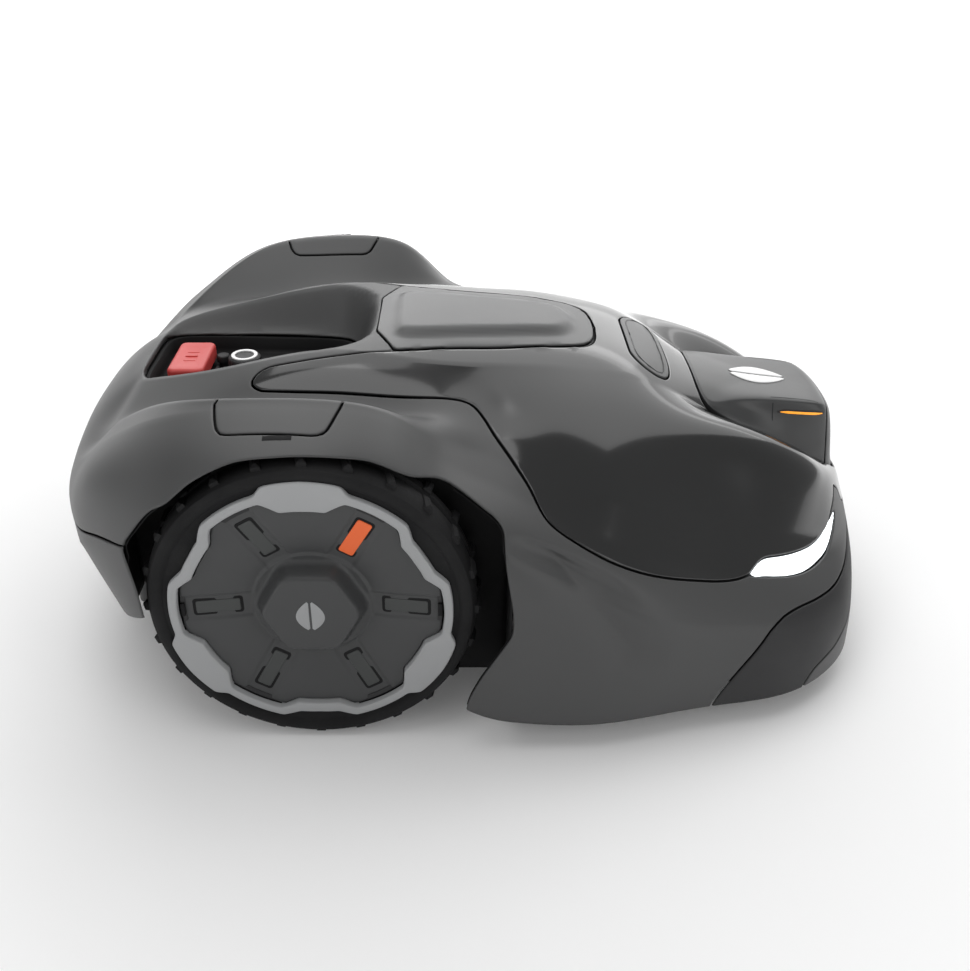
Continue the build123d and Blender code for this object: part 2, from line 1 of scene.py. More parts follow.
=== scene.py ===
import json
import bpy
import bmesh
import numpy as np
from math import atan2, cos, pi, radians, sin
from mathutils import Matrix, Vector


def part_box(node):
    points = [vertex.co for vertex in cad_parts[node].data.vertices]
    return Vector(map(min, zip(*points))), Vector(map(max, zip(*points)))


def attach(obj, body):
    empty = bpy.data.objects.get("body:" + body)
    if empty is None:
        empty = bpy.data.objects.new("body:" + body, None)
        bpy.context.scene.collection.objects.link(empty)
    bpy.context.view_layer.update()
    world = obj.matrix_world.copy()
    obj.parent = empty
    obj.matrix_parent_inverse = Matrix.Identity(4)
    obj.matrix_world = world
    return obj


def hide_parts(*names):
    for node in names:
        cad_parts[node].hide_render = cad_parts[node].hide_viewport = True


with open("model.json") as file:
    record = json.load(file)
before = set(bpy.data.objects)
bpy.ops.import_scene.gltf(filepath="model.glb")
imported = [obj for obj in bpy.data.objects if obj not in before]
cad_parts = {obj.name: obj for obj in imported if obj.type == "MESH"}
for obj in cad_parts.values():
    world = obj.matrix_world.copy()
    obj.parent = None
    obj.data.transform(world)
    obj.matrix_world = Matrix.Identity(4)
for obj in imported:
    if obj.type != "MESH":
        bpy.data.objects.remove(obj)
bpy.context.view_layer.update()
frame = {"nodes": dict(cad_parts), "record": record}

MM = 0.001
BOXES = {n: [[v / MM for v in c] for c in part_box(n)] for n in frame["nodes"]}


# ---------------------------------------------------------------- materials
def material(name, color, rough=0.5, metallic=0.0, coat=0.0, coat_rough=0.1, grain=0.15, grain_scale=900.0,
             mottle=0.06, mottle_scale=14.0, emit=0.0, streak=None, spec=0.5, alpha=1.0, trans=0.0):
    """A finish with fine surface grain, slow colour and gloss variation and an optional brushed direction."""
    m = bpy.data.materials.new(name)
    m.use_nodes = True
    t = m.node_tree
    t.nodes.clear()
    out = t.nodes.new("ShaderNodeOutputMaterial")
    b = t.nodes.new("ShaderNodeBsdfPrincipled")
    t.links.new(b.outputs[0], out.inputs[0])
    co = t.nodes.new("ShaderNodeTexCoord")
    mp = t.nodes.new("ShaderNodeMapping")
    t.links.new(co.outputs["Object"], mp.inputs[0])
    if streak:
        mp.inputs["Scale"].default_value = streak
    slow = t.nodes.new("ShaderNodeTexNoise")
    slow.inputs["Scale"].default_value = mottle_scale
    slow.inputs["Detail"].default_value = 5.0
    t.links.new(co.outputs["Object"], slow.inputs["Vector"])
    fine = t.nodes.new("ShaderNodeTexNoise")
    fine.inputs["Scale"].default_value = grain_scale
    fine.inputs["Detail"].default_value = 2.0
    t.links.new(mp.outputs[0], fine.inputs["Vector"])
    ramp = t.nodes.new("ShaderNodeMapRange")
    ramp.inputs["From Min"].default_value = 0.3
    ramp.inputs["From Max"].default_value = 0.7
    ramp.inputs["To Min"].default_value = 1.0 - mottle
    ramp.inputs["To Max"].default_value = 1.0 + mottle
    t.links.new(slow.outputs["Fac"], ramp.inputs["Value"])
    tint = t.nodes.new("ShaderNodeVectorMath")
    tint.operation = "SCALE"
    tint.inputs[0].default_value = color
    t.links.new(ramp.outputs[0], tint.inputs["Scale"])
    t.links.new(tint.outputs[0], b.inputs["Base Color"])
    gloss = t.nodes.new("ShaderNodeMapRange")
    gloss.inputs["From Min"].default_value = 0.3
    gloss.inputs["From Max"].default_value = 0.7
    gloss.inputs["To Min"].default_value = max(0.02, rough * (1 - mottle * 1.5))
    gloss.inputs["To Max"].default_value = min(1.0, rough * (1 + mottle * 1.5))
    t.links.new(slow.outputs["Fac"], gloss.inputs["Value"])
    t.links.new(gloss.outputs[0], b.inputs["Roughness"])
    if grain:
        bump = t.nodes.new("ShaderNodeBump")
        bump.inputs["Strength"].default_value = grain
        bump.inputs["Distance"].default_value = 0.0003
        t.links.new(fine.outputs["Fac"], bump.inputs["Height"])
        t.links.new(bump.outputs[0], b.inputs["Normal"])
    b.inputs["Metallic"].default_value = metallic
    b.inputs["Coat Weight"].default_value = coat
    b.inputs["Coat Roughness"].default_value = coat_rough
    b.inputs["Specular IOR Level"].default_value = spec
    b.inputs["Alpha"].default_value = alpha
    b.inputs["Transmission Weight"].default_value = trans
    if emit:
        b.inputs["Emission Color"].default_value = (*color, 1)
        b.inputs["Emission Strength"].default_value = emit
    return m


MAT = {
    "body_grey": material("body_grey", (0.050, 0.0505, 0.051), 0.46, grain=0.25, grain_scale=1400, mottle=0.03),
    "gloss_black": material("gloss_black", (0.0125, 0.0128, 0.013), 0.13, coat=0.25, coat_rough=0.05, grain=0.0, mottle=0.05),
    "satin_grey": material("satin_grey", (0.040, 0.041, 0.0415), 0.36, grain=0.12, grain_scale=1600, mottle=0.04),
    "soft_black": material("soft_black", (0.012, 0.012, 0.013), 0.55, grain=0.3, grain_scale=1100, mottle=0.10),
    "liner_black": material("liner_black", (0.006, 0.006, 0.0065), 0.7, grain=0.2, grain_scale=600, mottle=0.1, spec=0.25),
    "silver_plastic": material("silver_plastic", (0.31, 0.315, 0.32), 0.42, grain=0.2, grain_scale=1300, mottle=0.03),
    "cap_grey": material("cap_grey", (0.040, 0.041, 0.042), 0.48, grain=0.3, grain_scale=1200, mottle=0.05),
    "slot_grey": material("slot_grey", (0.036, 0.039, 0.038), 0.42, grain=0.2, grain_scale=1000, mottle=0.05),
    "mark_grey": material("mark_grey", (0.30, 0.305, 0.31), 0.42, grain=0.2, grain_scale=1200, mottle=0.04),
    "orange": material("orange", (0.80, 0.13, 0.025), 0.42, grain=0.15, mottle=0.04),
    "red": material("red", (0.55, 0.05, 0.045), 0.45, grain=0.2, mottle=0.05),
    "white": material("white", (0.80, 0.80, 0.80), 0.35, grain=0.05, mottle=0.02),
    "amber": material("amber", (0.80, 0.30, 0.02), 0.3, emit=0.9, grain=0.05, mottle=0.1, mottle_scale=200),
    "lamp": material("lamp", (0.86, 0.90, 0.92), 0.12, emit=2.2, coat=0.8, grain=0.0, mottle=0.12, mottle_scale=160),
    "tread_rubber": material("tread_rubber", (0.008, 0.008, 0.0085), 0.75, spec=0.25, grain=0.5, grain_scale=700, mottle=0.12, mottle_scale=30),
    "steel": material("steel", (0.55, 0.55, 0.56), 0.32, metallic=1.0, grain=0.3, grain_scale=400, streak=(1, 1, 8)),
    "motor_steel": material("motor_steel", (0.42, 0.42, 0.44), 0.40, metallic=1.0, grain=0.3, grain_scale=300, streak=(1, 10, 1)),
    "aluminium": material("aluminium", (0.62, 0.62, 0.64), 0.38, metallic=1.0, grain=0.35, grain_scale=500),
    "board_green": material("board_green", (0.02, 0.16, 0.06), 0.45, coat=0.3, grain=0.4, grain_scale=250, mottle=0.2, mottle_scale=120),
    "brass": material("brass", (0.72, 0.50, 0.20), 0.28, metallic=1.0, grain=0.2),
    "battery_blue": material("battery_blue", (0.03, 0.06, 0.20), 0.40, grain=0.2),
}


# ---------------------------------------------------------------- mesh kernel (all in millimetres)
def smoothstep(a, b, x):
    t = np.clip((x - a) / (b - a), 0, 1)
    return t * t * (3 - 2 * t)


def spline_matrix(count, subs):
    """Rows of uniform cubic B-spline weights over count controls and a phantom at each end."""
    rows = []
    for i in range(count - 1):
        for j in range(subs[i] + (1 if i == count - 2 else 0)):
            t = j / subs[i]
            row = np.zeros(count + 2)
            row[i:i + 4] = [(1 - t) ** 3 / 6, (3 * t ** 3 - 6 * t * t + 4) / 6,
                            (-3 * t ** 3 + 3 * t * t + 3 * t + 1) / 6, t ** 3 / 6]
            rows.append(row)
    return np.array(rows)


FLIP = np.array([1.0, -1.0, 1.0])


def padded_net(c):
    """Adds the phantom rows: mirror images across the centre plane, and a straight end at the hem."""
    c = np.concatenate([c[:, 1:2] * FLIP, c, 2 * c[:, -1:] - c[:, -2:-1]], axis=1)
    return np.concatenate([c[1:2] * FLIP, c, c[-2:-1] * FLIP], axis=0)


def fitted_net(points, rounds=3):
    """Controls whose surface runs close to the given points."""
    c = points.copy()
    for _ in range(rounds):
        e = padded_net(c)
        a = (e[:-2] + 4 * e[1:-1] + e[2:]) / 6
        s = (a[:, :-2] + 4 * a[:, 1:-1] + a[:, 2:]) / 6
        c = c + 0.85 * (points - s)
        c[0, :, 1] = 0
        c[-1, :, 1] = 0
        c[:, 0, 1] = 0
    return c


class Skin:
    """A polygon mesh with named values carried at its vertices."""

    def __init__(self, pts, faces, vals):
        self.pts, self.faces, self.vals = pts, faces, vals

    def split(self, name, level):
        f = self.vals[name] - level
        f = np.where(np.abs(f) < 1e-4, 1e-4, f)
        sign = f > 0
        names = list(self.vals)
        new_pts, new_vals, cache, base = [], {n: [] for n in names}, {}, len(self.pts)
        pos, neg = [], []
        for face in self.faces:
            up = [sign[i] for i in face]
            if all(up):
                pos.append(face)
                continue
            if not any(up):
                neg.append(face)
                continue
            a, b = [], []
            for k, i in enumerate(face):
                j = face[(k + 1) % len(face)]
                (a if sign[i] else b).append(i)
                if sign[i] != sign[j]:
                    key = (i, j) if i < j else (j, i)
                    if key not in cache:
                        t = f[key[0]] / (f[key[0]] - f[key[1]])
                        cache[key] = base + len(new_pts)
                        new_pts.append(self.pts[key[0]] * (1 - t) + self.pts[key[1]] * t)
                        for n in names:
                            v = self.vals[n]
                            new_vals[n].append(v[key[0]] * (1 - t) + v[key[1]] * t)
                    a.append(cache[key])
                    b.append(cache[key])
            pos.append(a)
            neg.append(b)
        pts, vals = self.pts, self.vals
        if new_pts:
            pts = np.vstack([pts, np.array(new_pts)])
            vals = {n: np.concatenate([vals[n], np.array(new_vals[n])]) for n in names}
        return Skin(pts, [p for p in pos if len(p) > 2], vals), Skin(pts, [n for n in neg if len(n) > 2], vals)

    def cut(self, name, level):
        """Keeps what lies above the level."""
        return self.split(name, level)[0].tidy()

    def score(self, name, level):
        """Adds an edge loop at the level."""
        a, b = self.split(name, level)
        return Skin(a.pts, a.faces + [f for f in b.faces], a.vals)

    def tidy(self):
        used = np.zeros(len(self.pts), bool)
        for f in self.faces:
            used[f] = True
        index = np.cumsum(used) - 1
        return Skin(self.pts[used], [[int(index[i]) for i in f] for f in self.faces],
                    {n: v[used] for n, v in self.vals.items()})


def smooth_outline(points, corners=(), step=4.0, closed=True):
    """A dense outline through the points, rounded except at the listed corners."""
    p = [np.array(q, float) for q in points]
    n = len(p)
    out = []
    for i in range(n if closed else n - 1):
        a, b = p[i], p[(i + 1) % n]
        before, after = p[(i - 1) % n], p[(i + 2) % n]
        ta = (b - before) / 2
        tb = (after - a) / 2
        if i in corners or (not closed and i == 0):
            ta = b - a
        if (i + 1) % n in corners or (not closed and i == n - 2):
            tb = b - a
        length = np.linalg.norm(b - a)
        for t, lim in ((ta, length), (tb, length)):
            s = np.linalg.norm(t)
            if s > lim * 1.3:
                t *= lim * 1.3 / s
        count = max(1, int(length / step))
        for k in range(count):
            t = k / count
            out.append((2 * t ** 3 - 3 * t * t + 1) * a + (t ** 3 - 2 * t * t + t) * ta
                       + (-2 * t ** 3 + 3 * t * t) * b + (t ** 3 - t * t) * tb)
    if not closed:
        out.append(p[-1])
    return np.array(out)


def inside(outline, u, v):
    """Signed distance from a closed outline, positive inside."""
    best = np.full(u.shape, 1e9)
    wind = np.zeros(u.shape, bool)
    for i in range(len(outline)):
        (ax, ay), (bx, by) = outline[i], outline[(i + 1) % len(outline)]
        dx, dy = bx - ax, by - ay
        t = np.clip(((u - ax) * dx + (v - ay) * dy) / (dx * dx + dy * dy + 1e-12), 0, 1)
        best = np.minimum(best, np.hypot(u - ax - t * dx, v - ay - t * dy))
        if ay != by:
            wind ^= ((ay > v) != (by > v)) & (u < (v - ay) * dx / (dy if dy else 1) + ax)
    return np.where(wind, best, -best)


def whole(points):
    return [tuple(p) for p in points] + [(x, -y) for x, y in reversed(points) if abs(y) > 1e-6]


def build(name, pts, faces, mat, body, slot=None, node=(), smooth=60.0, thick=0.0, bevel=0.0, weld=0.0):
    """A finished mesh object from points in millimetres, riding on a body."""
    me = bpy.data.meshes.new(name)
    me.from_pydata([tuple(float(c) * MM for c in p) for p in pts], [], [list(map(int, f)) for f in faces])
    me.validate()
    if weld:
        bm = bmesh.new()
        bm.from_mesh(me)
        bmesh.ops.remove_doubles(bm, verts=bm.verts, dist=weld * MM)
        bmesh.ops.recalc_face_normals(bm, faces=bm.faces)
        bm.to_mesh(me)
        bm.free()
    o = bpy.data.objects.new(name, me)
    bpy.context.scene.collection.objects.link(o)
    me.materials.append(MAT[mat])
    for p in me.polygons:
        p.use_smooth = True
    me.set_sharp_from_angle(angle=radians(smooth))
    if bevel:
        m = o.modifiers.new("edges", "BEVEL")
        m.width = bevel * MM
        m.segments = 3
        m.limit_method = "ANGLE"
        m.angle_limit = radians(35)
        m.harden_normals = True
    if thick:
        m = o.modifiers.new("wall", "SOLIDIFY")
        m.thickness = thick * MM
        m.offset = -1
        m.use_even_offset = False
    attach(o, body)
    if node:
        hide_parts(*node)
    return o


def loft_rings(rings, cap_start=True, cap_end=True):
    """Joins equal-length closed rings into a skin."""
    n = len(rings[0])
    pts = [p for r in rings for p in r]
    faces = []
    for k in range(len(rings) - 1):
        for i in range(n):
            j = (i + 1) % n
            faces.append([k * n + i, k * n + j, (k + 1) * n + j, (k + 1) * n + i])
    if cap_start:
        faces.append(list(range(n))[::-1])
    if cap_end:
        faces.append([(len(rings) - 1) * n + i for i in range(n)])
    return pts, faces


def outward(pts, faces):
    me = bpy.data.meshes.new("t")
    me.from_pydata([tuple(map(float, p)) for p in pts], [], [list(map(int, f)) for f in faces])
    bm = bmesh.new()
    bm.from_mesh(me)
    bmesh.ops.recalc_face_normals(bm, faces=bm.faces)
    v = [tuple(x.co) for x in bm.verts]
    f = [[x.index for x in p.verts] for p in bm.faces]
    bm.free()
    bpy.data.meshes.remove(me)
    return v, f


# ---------------------------------------------------------------- the body's form
def station(x, row):
    return [(x, y, z) for y, z in row]


NET = [
    [(-286, 0, 223), (-297, 0, 219.5), (-309, 0, 212.5), (-319, 0, 203.5), (-326, 0, 195), (-331.5, 0, 188), (-336.5, 0, 180),
     (-341, 0, 170), (-345, 0, 152), (-347, 0, 131), (-346, 0, 110), (-341, 0, 84)],
    [(-283, 0, 224.5), (-291, 32, 221), (-300, 50, 214), (-311, 62, 204), (-318, 68, 197), (-324, 74, 190), (-329, 80, 182),
     (-334.5, 86.5, 171), (-340, 92.5, 153), (-342.5, 96, 131), (-340.5, 97, 110), (-334.5, 97, 84)],
    [(-279, 0, 225.5), (-282, 38, 224.5), (-285, 59, 220), (-291, 82, 211), (-295, 98, 206), (-298, 108, 203), (-302, 119, 198),
     (-310.5, 137, 192.5), (-318, 154, 168), (-314.5, 160.5, 134), (-307, 158.5, 110), (-298, 155.5, 84)],
    [(-271, 0, 226.5), (-272, 42, 227), (-274, 63, 227), (-277, 90, 221), (-280, 106, 217), (-282, 113, 216), (-284, 119, 215),
     (-288.5, 147.5, 212), (-295, 186, 198), (-296, 201, 159.5), (-287.5, 200.5, 125), (-277, 196.5, 88)],
    station(-245, [(0, 231), (46, 233), (72, 235), (100, 229), (120, 227), (133, 233), (147, 244.7), (174.5, 243.2), (217.5, 225),
                   (244, 188), (249, 146), (245, 104)]),
    station(-205, [(0, 238), (50, 240), (76, 243.5), (104, 235), (124, 230), (147, 245.2), (173.5, 263.3), (192.5, 260), (228.5, 247.2),
                   (249, 227), (256, 180), (255, 110)]),
    station(-160, [(0, 246), (48, 249), (76, 254), (104, 246), (126, 234), (156, 250), (183, 269.5), (199, 266), (231, 256),
                   (252, 244), (258, 200), (258, 110)]),
    station(-110, [(0, 257), (50, 259), (77, 260), (106, 250), (130, 235), (161, 252), (186, 270), (202, 266), (233, 256),
                   (253, 244), (259, 200), (259, 110)]),
    station(-62, [(0, 260), (55, 259.5), (84, 257), (112, 244), (136, 230), (162, 246), (185, 260), (201, 255.5), (230, 244),
                  (248, 230), (258, 180), (260, 110)]),
    station(-26, [(0, 259.5), (55, 258.5), (88, 254), (112, 242), (136, 234), (154, 233), (171, 228), (192, 221.5), (225, 212),
                  (244, 203), (257, 155), (260, 60)]),
    station(8, [(0, 258), (52, 257), (87, 252), (112, 241), (136, 231), (156, 224), (174, 217), (198, 208), (228, 198),
                (247, 184), (259, 130), (260, 36)]),
    station(32, [(0, 257), (50, 256), (86, 251), (112, 242), (138, 231), (162, 223), (186, 210), (206, 200), (231, 187),
                 (250, 169), (260, 115), (260, 30)]),
    station(62, [(0, 255), (48, 254), (84, 249), (112, 241), (140, 231), (165, 219), (189, 203), (214, 184), (236, 169),
                 (253, 150), (259.5, 95), (259.5, 27)]),
    station(100, [(0, 249), (46, 248), (80, 243), (109, 236), (138, 225), (165, 211), (191, 192), (216, 167), (236, 148),
                  (251, 128), (258, 85), (257, 26)]),
    station(145, [(0, 236), (43, 235), (73, 231.5), (103, 225), (131, 214), (158, 196), (184, 171), (208, 144), (226, 129),
                  (241, 110), (248, 76), (247, 26)]),
    station(192, [(0, 211.5), (38, 209), (64, 201.5), (95, 209.5), (122, 205), (146, 181), (169, 150), (191, 122), (210, 108),
                  (226, 93), (234, 66), (235, 25)]),
    [(234, 0, 189), (234, 33, 187), (234, 60, 177), (235, 90, 193.5), (236, 117, 190), (237, 138, 163), (238, 156, 131),
     (239, 172, 110), (243, 190, 98), (248, 206, 85), (255, 216, 60), (255, 219, 24)],
    [(274, 0, 168), (274, 28, 165), (275, 52, 152), (277, 79, 170), (279, 104, 167), (281, 119, 144), (283, 131, 118),
     (285, 142, 101), (292, 157, 91), (300, 168, 79), (305, 174, 57), (306, 176, 25)],
    [(303, 0, 149), (304, 20, 146.5), (306, 37, 138), (309, 56, 142), (312, 72, 140), (315, 82, 124), (318, 89, 109),
     (320, 96, 99), (324, 104, 89), (328, 110, 77), (329, 113, 56), (329, 117, 26)],
    [(318, 0, 140), (322, 0, 137), (326, 0, 132), (331, 0, 125), (335, 0, 118), (338, 0, 111), (341, 0, 104),
     (343, 0, 98), (345, 0, 88), (347, 0, 76), (346.5, 0, 56), (344, 0, 26)],
]
TIGHT = {2: 3.0, 6: 3.5, 7: 3.5, 9: 4.0}


def body_grid():
    p = np.array(NET, float)
    cols = []
    for k in range(p.shape[1]):
        if k in TIGHT:
            for side in (-1, 1):
                d = p[:, k + side] - p[:, k]
                length = np.linalg.norm(d, axis=1, keepdims=True)
                cols.append(p[:, k] + d / np.maximum(length, 1e-6) * np.minimum(TIGHT[k], length * 0.3))
        else:
            cols.append(p[:, k])
    p = np.stack(cols, axis=1)
    c = fitted_net(p)
    sub_u = [max(3, int(np.linalg.norm(p[i + 1, 2:] - p[i, 2:], axis=1).max() / 4.2)) for i in range(len(p) - 1)]
    sub_v = [max(2, int(np.linalg.norm(p[4:, k + 1] - p[4:, k], axis=1).max() / 4.2)) for k in range(p.shape[1] - 1)]
    mu, mv = spline_matrix(len(p), sub_u), spline_matrix(p.shape[1], sub_v)
    e = padded_net(c)
    g = np.einsum("ia,jb,abc->ijc", mu, mv, e)
    g[:, 0, 1] = 0
    g[0, :, 1] = 0
    g[-1, :, 1] = 0
    return g


grid = body_grid()
NU, NV = grid.shape[:2]
pts = grid.reshape(-1, 3)
quads = [[i * NV + j, (i + 1) * NV + j, (i + 1) * NV + j + 1, i * NV + j + 1] for i in range(NU - 1) for j in range(NV - 1)]

# outlines of the covers, in plan (x, |y|) or from the side (x, z)
HATCH = smooth_outline([(-82, -30), (-82, 37), (-65.3, 74), (-20, 66), (20, 61.5), (54, 55.5), (80, 49), (94, 41.5),
                        (101.5, 28), (104.3, 9), (104.3, -9), (104, -30)], corners=(0, 1, 2, 11))
HOOD = smooth_outline([(-177.5, 101), (-176, 105.5), (-170, 110), (-137, 115), (-90, 118), (-28, 120.5), (-10, 123),
                       (-1, 128), (7, 140), (16, 159), (29, 181), (39.5, 197.5), (46, 209), (52, 217), (61, 221.5),
                       (75, 225), (90, 227), (105, 227), (125, 224), (146, 217.5), (172, 206), (203, 191.5), (221, 180),
                       (236, 171), (252, 163), (268, 152), (284, 138), (295, 123), (302, 108), (308, 92), (309.5, 84),
                       (319, 71.5), (330, 59.5), (337, 40), (340, 0), (340, -40), (106, -40), (106, 0), (103, 28),
                       (95.5, 42.5), (81, 50.2), (54, 56.8), (20, 62.8), (-20, 67.3), (-66, 75.3), (-108, 83.5),
                       (-140, 87.3), (-166, 88.5), (-174, 93.5)], corners=(34, 35, 36, 37, 44))
SCOOP = smooth_outline([(-284, -20), (-284, 20), (-280, 50), (-272, 62), (-245, 71), (-205, 75.5), (-157, 76), (-120, 73),
                        (-98, 60), (-86, 42), (-83.2, 20), (-83.2, -20)], corners=(0, 11))
WELL = smooth_outline([(-281, -20), (-281, 28), (-278, 44), (-266, 51), (-220, 52), (-160, 49), (-122, 44), (-108, 34),
                       (-104, 16), (-104, -20)], corners=(0, 9))
ARCH = smooth_outline([(-244, -60), (-244, 135), (-252, 176), (-249.5, 184), (-230, 209), (-214, 220), (-195, 236),
                       (-173, 247), (-153, 251.5), (-119, 253), (-86, 249.5), (-66, 243), (-41, 227), (-14, 210.5), (6, 200),
                       (14, 195.5), (18.4, 191), (19.8, 183), (20.5, 167), (25.3, 137), (26.4, 120), (24.5, 112), (0, 67),
                       (-8.6, 36), (-14, -60)], corners=(0, 2, 21, 24))
CAP = smooth_outline([(-187, 186), (-181.5, 171), (-178, 167), (-173, 165.3), (-108, 168.5), (-103, 171), (-94.3, 187),
                      (-97, 197), (-103.5, 217), (-106.5, 221), (-112, 222.8), (-172, 219.5), (-177.5, 218), (-181, 213),
                      (-184.5, 200)], corners=(0, 6))
REAR = smooth_outline([(-380, 150), (-346, 150), (-325, 154), (-305, 161.5), (-282, 172.5), (-266, 177.5), (-250, 180),
                       (-220, 181), (-220, 60), (-380, 60)], corners=(0, 7, 8, 9))
HEM = smooth_outline([(-380, 80), (-330, 81), (-300, 86), (-271, 99), (-255, 112), (-242, 121), (-232, 125), (-232, -30),
                      (-380, -30)], corners=(0, 6, 7, 8))
BUMPER = smooth_outline([(184, 10), (188.5, 30), (205.6, 58), (224.8, 78.6), (233, 85), (243, 88.6), (258, 89.3), (279, 87.6),
                         (297, 86.8), (316, 88.5), (331, 91), (370, 92), (370, -30), (184, -30)], corners=(0, 11, 12, 13))
INSERT = smooth_outline([(262, -30), (264, 15), (268, 28), (275, 37.5), (285, 42.3), (296, 46), (303, 50.5), (309, 54),
                         (317, 61), (330, 67), (370, 68), (370, -30)], corners=(0, 10, 11))
LAMP = smooth_outline([(218, 113), (225.4, 118.3), (233.3, 119.6), (247, 116.8), (262, 114), (278, 112.2), (290, 113.4),
                       (299, 116.8), (309, 121), (308.8, 116), (303.8, 108), (296, 101.5), (284.6, 100), (269.5, 101),
                       (254, 103.8), (235, 108.5)], corners=(0, 8))
PLATE = smooth_outline([(132.5, -30), (132.6, 30), (133.4, 39), (137, 48), (144.5, 57), (153, 60.5), (160, 58.5),
                        (164, 52), (167, 38), (168.3, 18), (168.6, -30)], corners=(0, 10))
MODULE = [(192.5, 0), (192.3, 38), (194.5, 55), (200.9, 63), (217, 66), (240.6, 64), (264, 63.2), (284, 61),
          (304, 54), (320, 43.6), (331, 28), (335, 0)]

x, y, z = pts[:, 0], pts[:, 1], pts[:, 2]

# relief worked into the form: the scoop round the controls, the raised hatch lid, the valley in the skirt
f_scoop = inside(SCOOP, x, y)
f_well = inside(WELL, x, y)
t = np.clip(f_scoop / np.maximum(f_scoop - f_well, 1e-6), 0, 1)
s = 0.45 * t + 0.55 * (3 * t * t - 2 * t ** 3)
top = (z > 200) & (f_scoop > 0)
z = np.where(top, z * (1 - s) + 219.0 * s, z)

LID = smooth_outline([(-70, -30), (-70, 34), (-58, 52), (0, 46), (66, 36), (80, 28), (88, 14), (89, 0), (88, -30)], corners=(0, 8))
f_lid = inside(LID, x, y)
rise = np.where(z > 200, 5.0 * smoothstep(0.0, 13.0, f_lid + 1.0), 0)
f_hatch = inside(HATCH, x, y)
z = z + rise + np.where((z > 200) & (f_hatch > 0), 0.8, 0)

valley = [(44, 184), (70, 150), (118, 98), (150, 84)]
dist = np.full(x.shape, 1e9)
side = np.zeros(x.shape)
for (ax, az), (bx, bz) in zip(valley, valley[1:]):
    dx, dz = bx - ax, bz - az
    u = np.clip(((x - ax) * dx + (z - az) * dz) / (dx * dx + dz * dz), 0, 1)
    d = np.hypot(x - ax - u * dx, z - az - u * dz)
    right = (x - ax) * dz - (z - az) * dx
    near = d < dist
    side = np.where(near, -np.sign(right), side)
    dist = np.minimum(dist, d)
reach = np.where(side > 0, 52.0, 26.0)
press = 11.0 * (1 - np.clip(dist / reach, 0, 1)) ** 1.4 * smoothstep(232, 244, y) * (1 - smoothstep(88, 150, x))
y = y - press

grid = np.stack([x, y, z], axis=1).reshape(NU, NV, 3)
du, dv = np.gradient(grid, axis=0), np.gradient(grid, axis=1)
normal = np.cross(du, dv)
normal /= np.maximum(np.linalg.norm(normal, axis=2, keepdims=True), 1e-9)
if normal[NU // 2, 3, 2] < 0:
    normal = -normal
    quads = [q[::-1] for q in quads]
normal = normal.reshape(-1, 3)
pts = grid.reshape(-1, 3)
x, y, z = pts.T
nx, ny, nz = normal.T


def on_surface(f, axes):
    """Turns a distance measured in a projection into one along the surface."""
    g = f.reshape(NU, NV)
    gu, gv = np.gradient(g, axis=0), np.gradient(g, axis=1)
    lu, lv = np.linalg.norm(du, axis=2), np.linalg.norm(dv, axis=2)
    c = (du * dv).sum(2) / np.maximum(lu * lv, 1e-6)
    a, b = gu / np.maximum(lu, 1e-3), gv / np.maximum(lv, 1e-3)
    slope = np.sqrt(np.maximum(a * a + b * b - 2 * a * b * c, 0) / np.maximum(1 - c * c, 0.05)).reshape(-1)
    return f / np.clip(slope, 0.25, 1.0)


def field(outline, u, v):
    return on_surface(inside(outline, u, v), None)


upper = z > 150
F = {
    "hatch": np.where(upper, field(HATCH, x, y), -50),
    "hood": np.where(nz > 0.12, field(HOOD, x, y), -50),
    "well": np.where(upper, inside(WELL, x, y), -50),
    "arch": np.minimum(field(ARCH, x, z), (y - 196) * 2),
    "cap": np.where(z > 200, field(CAP, x, y), -50),
    "rear": np.where(x < -200, field(REAR, x, z), -50),
    "hem": np.where(x < -200, field(HEM, x, z), -50),
    "bumper": np.where(x > 150, field(BUMPER, x, z), -50),
    "insert": np.where(x > 240, field(INSERT, x, z), -50),
    "lamp": np.where((x > 200) & (y > 62), field(LAMP, x, z), -50),
    "plate": np.where(upper, field(PLATE, x, y), -50),
    "module": np.where(z > 100, field(smooth_outline(whole(MODULE), corners=tuple(range(20)), step=6), x, y), -50),
}
vals = {"nx": nx, "ny": ny, "nz": nz, **F}
base = Skin(pts, quads, vals)
GAP = 0.7


